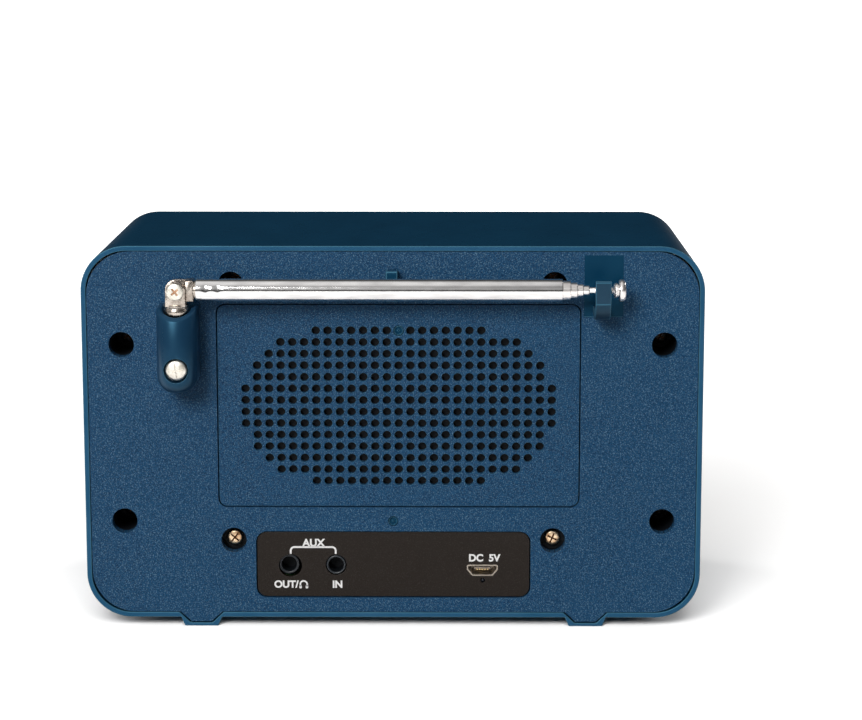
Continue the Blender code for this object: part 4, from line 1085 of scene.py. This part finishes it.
def make_knuckle():
    collar_top, collar_bottom, stem_bottom = 81.2 * MM, 78.2 * MM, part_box("antenna_swivel")[0].z
    profile = [(0, collar_top), (2.75 * MM, collar_top), (3.1 * MM, collar_top - 0.15 * MM),
               (3.15 * MM, collar_top - 0.4 * MM), (3.1 * MM, collar_top - 0.7 * MM),
               (2.9 * MM, collar_top - 0.85 * MM), (2.9 * MM, collar_top - 1.05 * MM),
               (3.05 * MM, collar_top - 1.2 * MM), (3.05 * MM, collar_bottom + 0.4 * MM),
               (2.75 * MM, collar_bottom), (2.3 * MM, collar_bottom - 0.2 * MM),
               (2.3 * MM, stem_bottom + 0.3 * MM), (2.0 * MM, stem_bottom), (0, stem_bottom)]
    knuckle = lathe("knuckle", profile, at(SWIVEL_X, AXIS_Y, 0))
    half = 2.35 * MM
    foot = collar_top - PIN.z - 0.5 * MM
    outline = arc(0, 0, half, 0, 180, 24) + [(-half, foot), (half, foot)]
    hole = circle(0, 0, 1.15 * MM, 24)
    ears = []
    for y in (AXIS_Y + 2.8 * MM, AXIS_Y - 1.3 * MM):
        ear = slab("ear", [outline, hole], 1.5 * MM, on_rear(SWIVEL_X, y, PIN.z))
        ears.append(soften(ear, 0.25 * MM, 3))
    gather(knuckle, *ears)
    piece(knuckle, "nickel", "antenna_swivel", body="antenna_knuckle", smooth=SMOOTH)
    box = Span("antenna_pin")
    length, head, thin = box.size.y, 2.0 * MM, 0.9 * MM
    crown = [(head * math.sin(a), -0.4 * MM * (1 - math.cos(a))) for a in degrees(0, 88, 8)]
    profile = crown + [(head, -0.7 * MM), (head - 0.1 * MM, -0.85 * MM), (thin, -0.85 * MM),
                       (thin, -length), (0, -length)]
    face = on_rear(SWIVEL_X, box.high.y, PIN.z)
    pin = lathe("hinge_pin", profile, face, 40)
    lining = make_recess("hinge_pin_recess", pin, face, 1.05 * MM, 0.5 * MM, 0.4 * MM, 40)
    soften(pin, 0.07 * MM, 2, 40, edge="copper")
    piece(pin, "nickel", "antenna_pin", body="antenna_knuckle", material="pan_head")
    piece(lining, "nickel", body="antenna_knuckle", material="copper")


def make_antenna_base():
    half = 2.6 * MM
    outline = arc(0, 0, half, 90, -90, 24) + [(-3.3 * MM, -half), (-3.3 * MM, half)]
    outline = [(-x, y) for x, y in outline]
    face = on_rear(SWIVEL_X, AXIS_Y + 1 * MM, PIN.z)
    tongue = soften(slab("tongue", [outline, circle(0, 0, 1.15 * MM, 24)], 2 * MM, face), 0.3 * MM, 3)
    collar = soften(block(
        "collar_block", (46.9 * MM, AXIS_Y - 2.45 * MM, AXIS_Z - 2.55 * MM),
        (49.0 * MM, AXIS_Y + 2.45 * MM, AXIS_Z + 2.55 * MM),
    ), 0.35 * MM, 3)
    plug = lathe("plug", [(0, -47.9 * MM), (2.3 * MM, -47.9 * MM), (2.3 * MM, -44.7 * MM), (0, -44.7 * MM)],
                 at(0, AXIS_Y, AXIS_Z, TOWARDS_TIP), 32)
    gather(tongue, collar, plug)
    piece(tongue, "nickel", "antenna_base", body="antenna_arm", smooth=SMOOTH)


CRIMPS = [(-44.1 * MM, 80), (-41.2 * MM, 80)]


def dented(radius, height, angle):
    """Pulls the first tube's wall in where it is crimped onto its plug."""
    depth = 0.0
    for place, turn in CRIMPS:
        for quarter in range(4):
            gap = (math.degrees(angle) - turn - 90 * quarter + 180) % 360 - 180
            across = math.radians(gap) * radius
            distance = ((height - place) / (0.75 * MM)) ** 2 + (across / (0.9 * MM)) ** 2
            depth += 0.13 * MM * math.exp(-distance)
    return radius - depth if radius > 2.5 * MM else radius


def make_antenna():
    along = at(0, AXIS_Y, AXIS_Z, TOWARDS_TIP)
    bodies = ["antenna_arm"] + [f"antenna_section_{number}" for number in range(2, 6)]
    walls = [0.35, 0.30, 0.30, 0.25, 0.30]
    for number, (body, wall) in enumerate(zip(bodies, walls), 1):
        node = f"antenna_tube_{number}"
        box = Span(node)
        start, end, outer = -box.high.x, -box.low.x, box.size.y / 2
        if number == 1:
            start += 0.5 * MM
        inner, lip = outer - wall * MM, 0.2 * MM
        shoulder = arc(outer - lip, end - lip, lip, 0, 90, 6)
        body_line = [(outer, start + 0.1 * MM)]
        shape = None
        if number == 1:
            body_line += [(outer, start + step * 0.16 * MM) for step in range(1, 50)]
            body_line += [(outer, start + 12 * MM), (outer, start + 40 * MM)]
            shape = dented
        mouth = inner + 0.02 * MM
        profile = [(inner, start), (outer - 0.1 * MM, start)] + body_line
        profile += [(outer, end - lip)] + shoulder[1:-1] + [(max(mouth, outer - lip), end), (mouth, end)]
        profile += [(inner, end - 0.3 * MM), (inner, start)]
        tube = lathe(f"antenna_section_{number}_tube", profile, along, 96 if shape else 64, shape)
        inner_metal = "antenna_chrome" if number == 1 else "satin_chrome"
        piece(tube, "antenna_chrome", node, body=body, material=inner_metal, smooth=50)
    box = Span("antenna_tip")
    start, end, cap, thin = -box.high.x, -box.low.x, box.size.y / 2, 0.7 * MM
    neck = end - 1.95 * MM
    profile = [(0, start), (thin, start), (thin, neck - 1.5 * MM), (0.9 * MM, neck - 1.1 * MM),
               (1.5 * MM, neck - 0.95 * MM), (1.75 * MM, neck - 0.5 * MM), (1.75 * MM, neck - 0.15 * MM),
               (1.55 * MM, neck), (1.55 * MM, neck + 0.2 * MM), (cap - 0.35 * MM, neck + 0.25 * MM),
               (cap - 0.1 * MM, neck + 0.35 * MM), (cap, neck + 0.6 * MM), (cap, neck + 1.0 * MM)]
    round_off = 0.95 * MM
    profile += arc(cap - round_off, end - round_off, round_off, 15, 90, 5) + [(0, end)]
    tip = lathe("antenna_rod_tip", profile, along, 48)
    piece(tip, "antenna_chrome", "antenna_tip", body="antenna_rod", material="satin_chrome", smooth=50)


# ---------------------------------------------------------------- front


FRONT = -35.2 * MM
DIAL = middle("dial_plate")


def make_front_panel():
    grille = Span("speaker_grille")
    x, z = grille.centre.x, grille.centre.z
    holes = [rounded(grille.size.x - 8 * MM, grille.size.z - 6 * MM, 5 * MM, x, z)]
    for node in BUTTONS:
        spot = middle(node)
        holes.append(rounded(11.7 * MM, 5.7 * MM, 0.6 * MM, spot.x, spot.z, 4))
    light = middle("power_light")
    holes.append(circle(light.x, light.z, 1.6 * MM, 24))
    edge = case_outline(RIM + SEAM)
    panel = slab("front_panel_skin", [edge] + holes, 2.5 * MM, on_front(0, FRONT, 0))
    soften(panel, 0.15 * MM, 2)
    piece(panel, "gloss_navy", "front_panel", material="textured_navy")
    backing = slab("grille_backing", [rounded(66 * MM, 58 * MM, 4 * MM, x, z)], 0.4 * MM,
                   on_front(0, FRONT + 2.0 * MM, 0))
    piece(backing, "speaker_paper")
    trim = Span("front_trim")
    ring = slab("front_trim_ring", [edge, case_outline(RIM + SEAM + 1.8 * MM)], trim.size.y,
                on_front(0, trim.low.y, 0))
    soften(ring, 0.4 * MM, 4)
    piece(ring, "trim_chrome", "front_trim")


def make_speaker_grille():
    box = Span("speaker_grille")
    x, z = box.centre.x, box.centre.z
    slots, pitch = 12, 4.6 * MM
    holes = [
        rounded(box.size.x - 12 * MM, 2.3 * MM, 1.1 * MM, x, z + ((slots - 1) / 2 - index) * pitch, 5)
        for index in range(slots)
    ]
    grille = slab("speaker_grille_bars", [rounded(box.size.x, box.size.z, 6 * MM, x, z)] + holes,
                  box.size.y, on_front(0, box.low.y, 0))
    soften(grille, 0.45 * MM, 4)
    piece(grille, "cream", "speaker_grille")


def make_dial():
    box = Span("dial_plate")
    radius, bore, thick = box.size.x / 2, 2.9 * MM, 0.9 * MM
    face = on_front(DIAL.x, box.low.y, DIAL.z)
    profile = [(bore, 0), (radius - 0.2 * MM, 0), (radius, -0.2 * MM), (radius, -thick),
               (bore, -thick), (bore, 0)]
    piece(lathe("dial_disc", profile, face, 96), "dial_cream", "dial_plate", smooth=SMOOTH)
    marks = []
    first, last, count, figures_at, line_at = -120, 120, 40, 15.2 * MM, 20.2 * MM
    for step in range(count + 1):
        angle = first + (last - first) * step / count
        inner, width = (17.4 * MM, 0.32 * MM) if step % 8 == 0 else (18.6 * MM, 0.18 * MM)
        turn = Matrix.Rotation(math.radians(-angle), 4, "Z")
        marks.append(stroke("tick", [(0, inner), (0, line_at)], width, face @ turn))
    figures = ("88", "92", "96", "100", "104", "108")
    for figure, angle in zip(figures, degrees(first, last, len(figures) - 1)):
        spot = face @ Matrix.Translation((figures_at * math.sin(angle), figures_at * math.cos(angle), 0))
        marks.append(writing("figure", figure, 3.0 * MM, spot, 0.02 * MM))
    for word, size, drop, bold in (("FM", 2.4, 15.6, 0.03), ("MHz", 1.8, 18.9, 0.02)):
        spot = face @ Matrix.Translation((0, -drop * MM, 0))
        marks.append(writing("word", word, size * MM, spot, bold * MM))
    marks.append(stroke("scale_line", arc(0, 0, line_at, 90 - first, 90 - last, 80), 0.16 * MM, face))
    piece(joined("dial_print", marks), "dial_cream", material="navy_ink")
    box = Span("dial_ring")
    radius, depth, bead = box.size.x / 2, box.size.y, 0.6 * MM
    crown = arc(radius - bead, -bead, bead, 180, 0, 9)
    profile = crown + [(radius, -depth), (radius - 2 * bead, -depth), crown[0]]
    ring = lathe("dial_bezel", profile, on_front(DIAL.x, box.low.y, DIAL.z), 96)
    piece(ring, "trim_chrome", "dial_ring", smooth=60)


def make_knob(body, ribs, pointer):
    """A turned knob with a ribbed skirt and a bright cap. Its radius is measured away from any pointer."""
    node = body + "_knob"
    box, spot = Span(node), middle(body + "_shaft")
    radius, depth = box.high.x - spot.x, box.size.y
    face = on_front(spot.x, box.low.y, spot.z)

    def ribbed(reach, height, angle):
        if reach < radius * 0.9 or height > -0.8 * MM or height < -depth + 1.6 * MM:
            return reach
        return reach * (1 - 0.022 * (1 + math.cos(ribs * angle)))

    profile = [(0, -0.35 * MM), (radius * 0.74, -0.35 * MM), (radius * 0.77, 0), (radius * 0.88, 0),
               (radius * 0.93, -0.2 * MM), (radius * 0.95, -0.7 * MM), (radius * 0.955, -0.9 * MM),
               (radius * 0.97, -depth + 2.2 * MM), (radius * 0.97, -depth + 1.7 * MM),
               (radius * 0.98, -depth + 1.5 * MM), (radius, -depth + 1.3 * MM), (radius, -depth),
               (2.8 * MM, -depth), (2.8 * MM, -4 * MM), (0, -4 * MM)]
    piece(lathe(node + "_grip", profile, face, 8 * ribs, ribbed), "knob_black", node, body=body, smooth=40)
    dish = [(0, -0.02 * MM)]
    for ring in range(6):
        reach, fall = radius * (0.12 + 0.09 * ring), 0.05 * MM * ring
        dish += [(reach, -0.06 * MM - fall), (reach + 0.1 * MM, -0.1 * MM - fall),
                 (reach + 0.2 * MM, -0.06 * MM - fall)]
    dish += [(radius * 0.68, -0.3 * MM), (radius * 0.72, -0.2 * MM),
             (radius * 0.735, -0.5 * MM), (0, -0.5 * MM)]
    piece(lathe(node + "_cap", dish, face, 96), "trim_chrome", body=body, material="spun_metal", smooth=50)
    if pointer:
        base = on_front(spot.x, box.high.y - 1.3 * MM, spot.z)
        wide, narrow, heel, point = 0.75 * MM, 0.28 * MM, radius - 1.2 * MM, 20.8 * MM
        outline = [(-wide, heel), (wide, heel), (narrow, point), (-narrow, point)]
        needle = slab(node + "_needle", [outline], 0.6 * MM, lifted(base, 0.6 * MM))
        piece(soften(needle, 0.12 * MM, 2), "knob_black", body=body, material="red_ink")
    else:
        ends = [(0, radius * 0.35), (0, radius * 0.68)]
        line = stroke(node + "_index", ends, 0.5 * MM, lifted(face, -0.1 * MM))
        piece(line, "knob_black", body=body, material="navy_ink")


def make_knob_scales():
    """Printed dots that show each small knob's sweep."""
    marks, reach = [], 9.6 * MM
    volume = [(0.22 + 0.03 * index) * MM for index in range(11)]
    for body, sweep, sizes in (("volume", 270, volume), ("mode", 90, [0.4 * MM] * 4)):
        spot = middle(body + "_shaft")
        face = on_front(spot.x, FRONT, spot.z)
        for size, angle in zip(sizes, degrees(0, sweep, len(sizes) - 1)):
            dot = circle(reach * math.sin(angle), reach * math.cos(angle), size, 16)
            marks.append(inked("dot", dot, face))
    piece(joined("knob_scales", marks), "gloss_navy", material="white_ink")


BUTTONS = ["button_power", "button_source", "button_down", "button_up", "button_preset"]


def button_mark(node, face):
    """The plain symbol on a button."""
    width = 0.34 * MM
    if node == "button_preset":
        return [inked("mark", circle(0, 0, 0.8 * MM, 20), face)]
    if node == "button_power":
        lines = [arc(0, 0, 1.05 * MM, 125, 415, 20), [(0, 0.3 * MM), (0, 1.35 * MM)]]
    elif node == "button_source":
        lines = [[(-1.1 * MM, z), (1.1 * MM, z)] for z in (0.55 * MM, -0.55 * MM)]
    else:
        tip = 0.5 * MM if node == "button_up" else -0.5 * MM
        lines = [[(shift - tip, 0.9 * MM), (shift + tip, 0), (shift - tip, -0.9 * MM)]
                 for shift in (-0.65 * MM, 0.65 * MM)]
    return [stroke("mark", line, width, face) for line in lines]


def make_buttons():
    for node in BUTTONS:
        box = Span(node)
        body = node.replace("button_", "") + "_button"
        face = on_front(box.centre.x, box.low.y, box.centre.z)
        cap = slab(node + "_cap", [rounded(11 * MM, 5 * MM, 0.9 * MM, 0, 0, 6)], box.size.y, face)
        soften(cap, 0.55 * MM, 4)
        flange = slab("flange", [rounded(box.size.x, box.size.z, 0.9 * MM, 0, 0, 4)], 0.7 * MM,
                      lifted(face, 0.75 * MM - box.size.y))
        piece(gather(cap, flange), "cream", node, body=body)
        piece(joined(node + "_mark", button_mark(node, face)), "cream", body=body, material="navy_ink")


def make_power_light():
    box, radius, flange = Span("power_light"), 1.3 * MM, 2.1 * MM
    dome = [(radius * math.sin(a), -0.9 * MM * (1 - math.cos(a))) for a in degrees(0, 90, 9)]
    profile = dome + [(radius, -4 * MM), (flange, -4 * MM), (flange, -box.size.y), (0, -box.size.y)]
    lens = lathe("power_light_lens", profile, on_front(box.centre.x, box.low.y, box.centre.z), 32)
    piece(lens, "lamp_amber", "power_light", smooth=50)


make_camera()
make_studio()
repaint_model()
make_cabinet()
make_rear_cover()
make_case_screws()
make_rear_grille()
make_port_plate()
make_bracket()
make_clip()
make_knuckle()
make_antenna_base()
make_antenna()
make_front_panel()
make_speaker_grille()
make_dial()
make_knob("tuning", 36, True)
make_knob("volume", 24, False)
make_knob("mode", 24, False)
make_knob_scales()
make_buttons()
make_power_light()
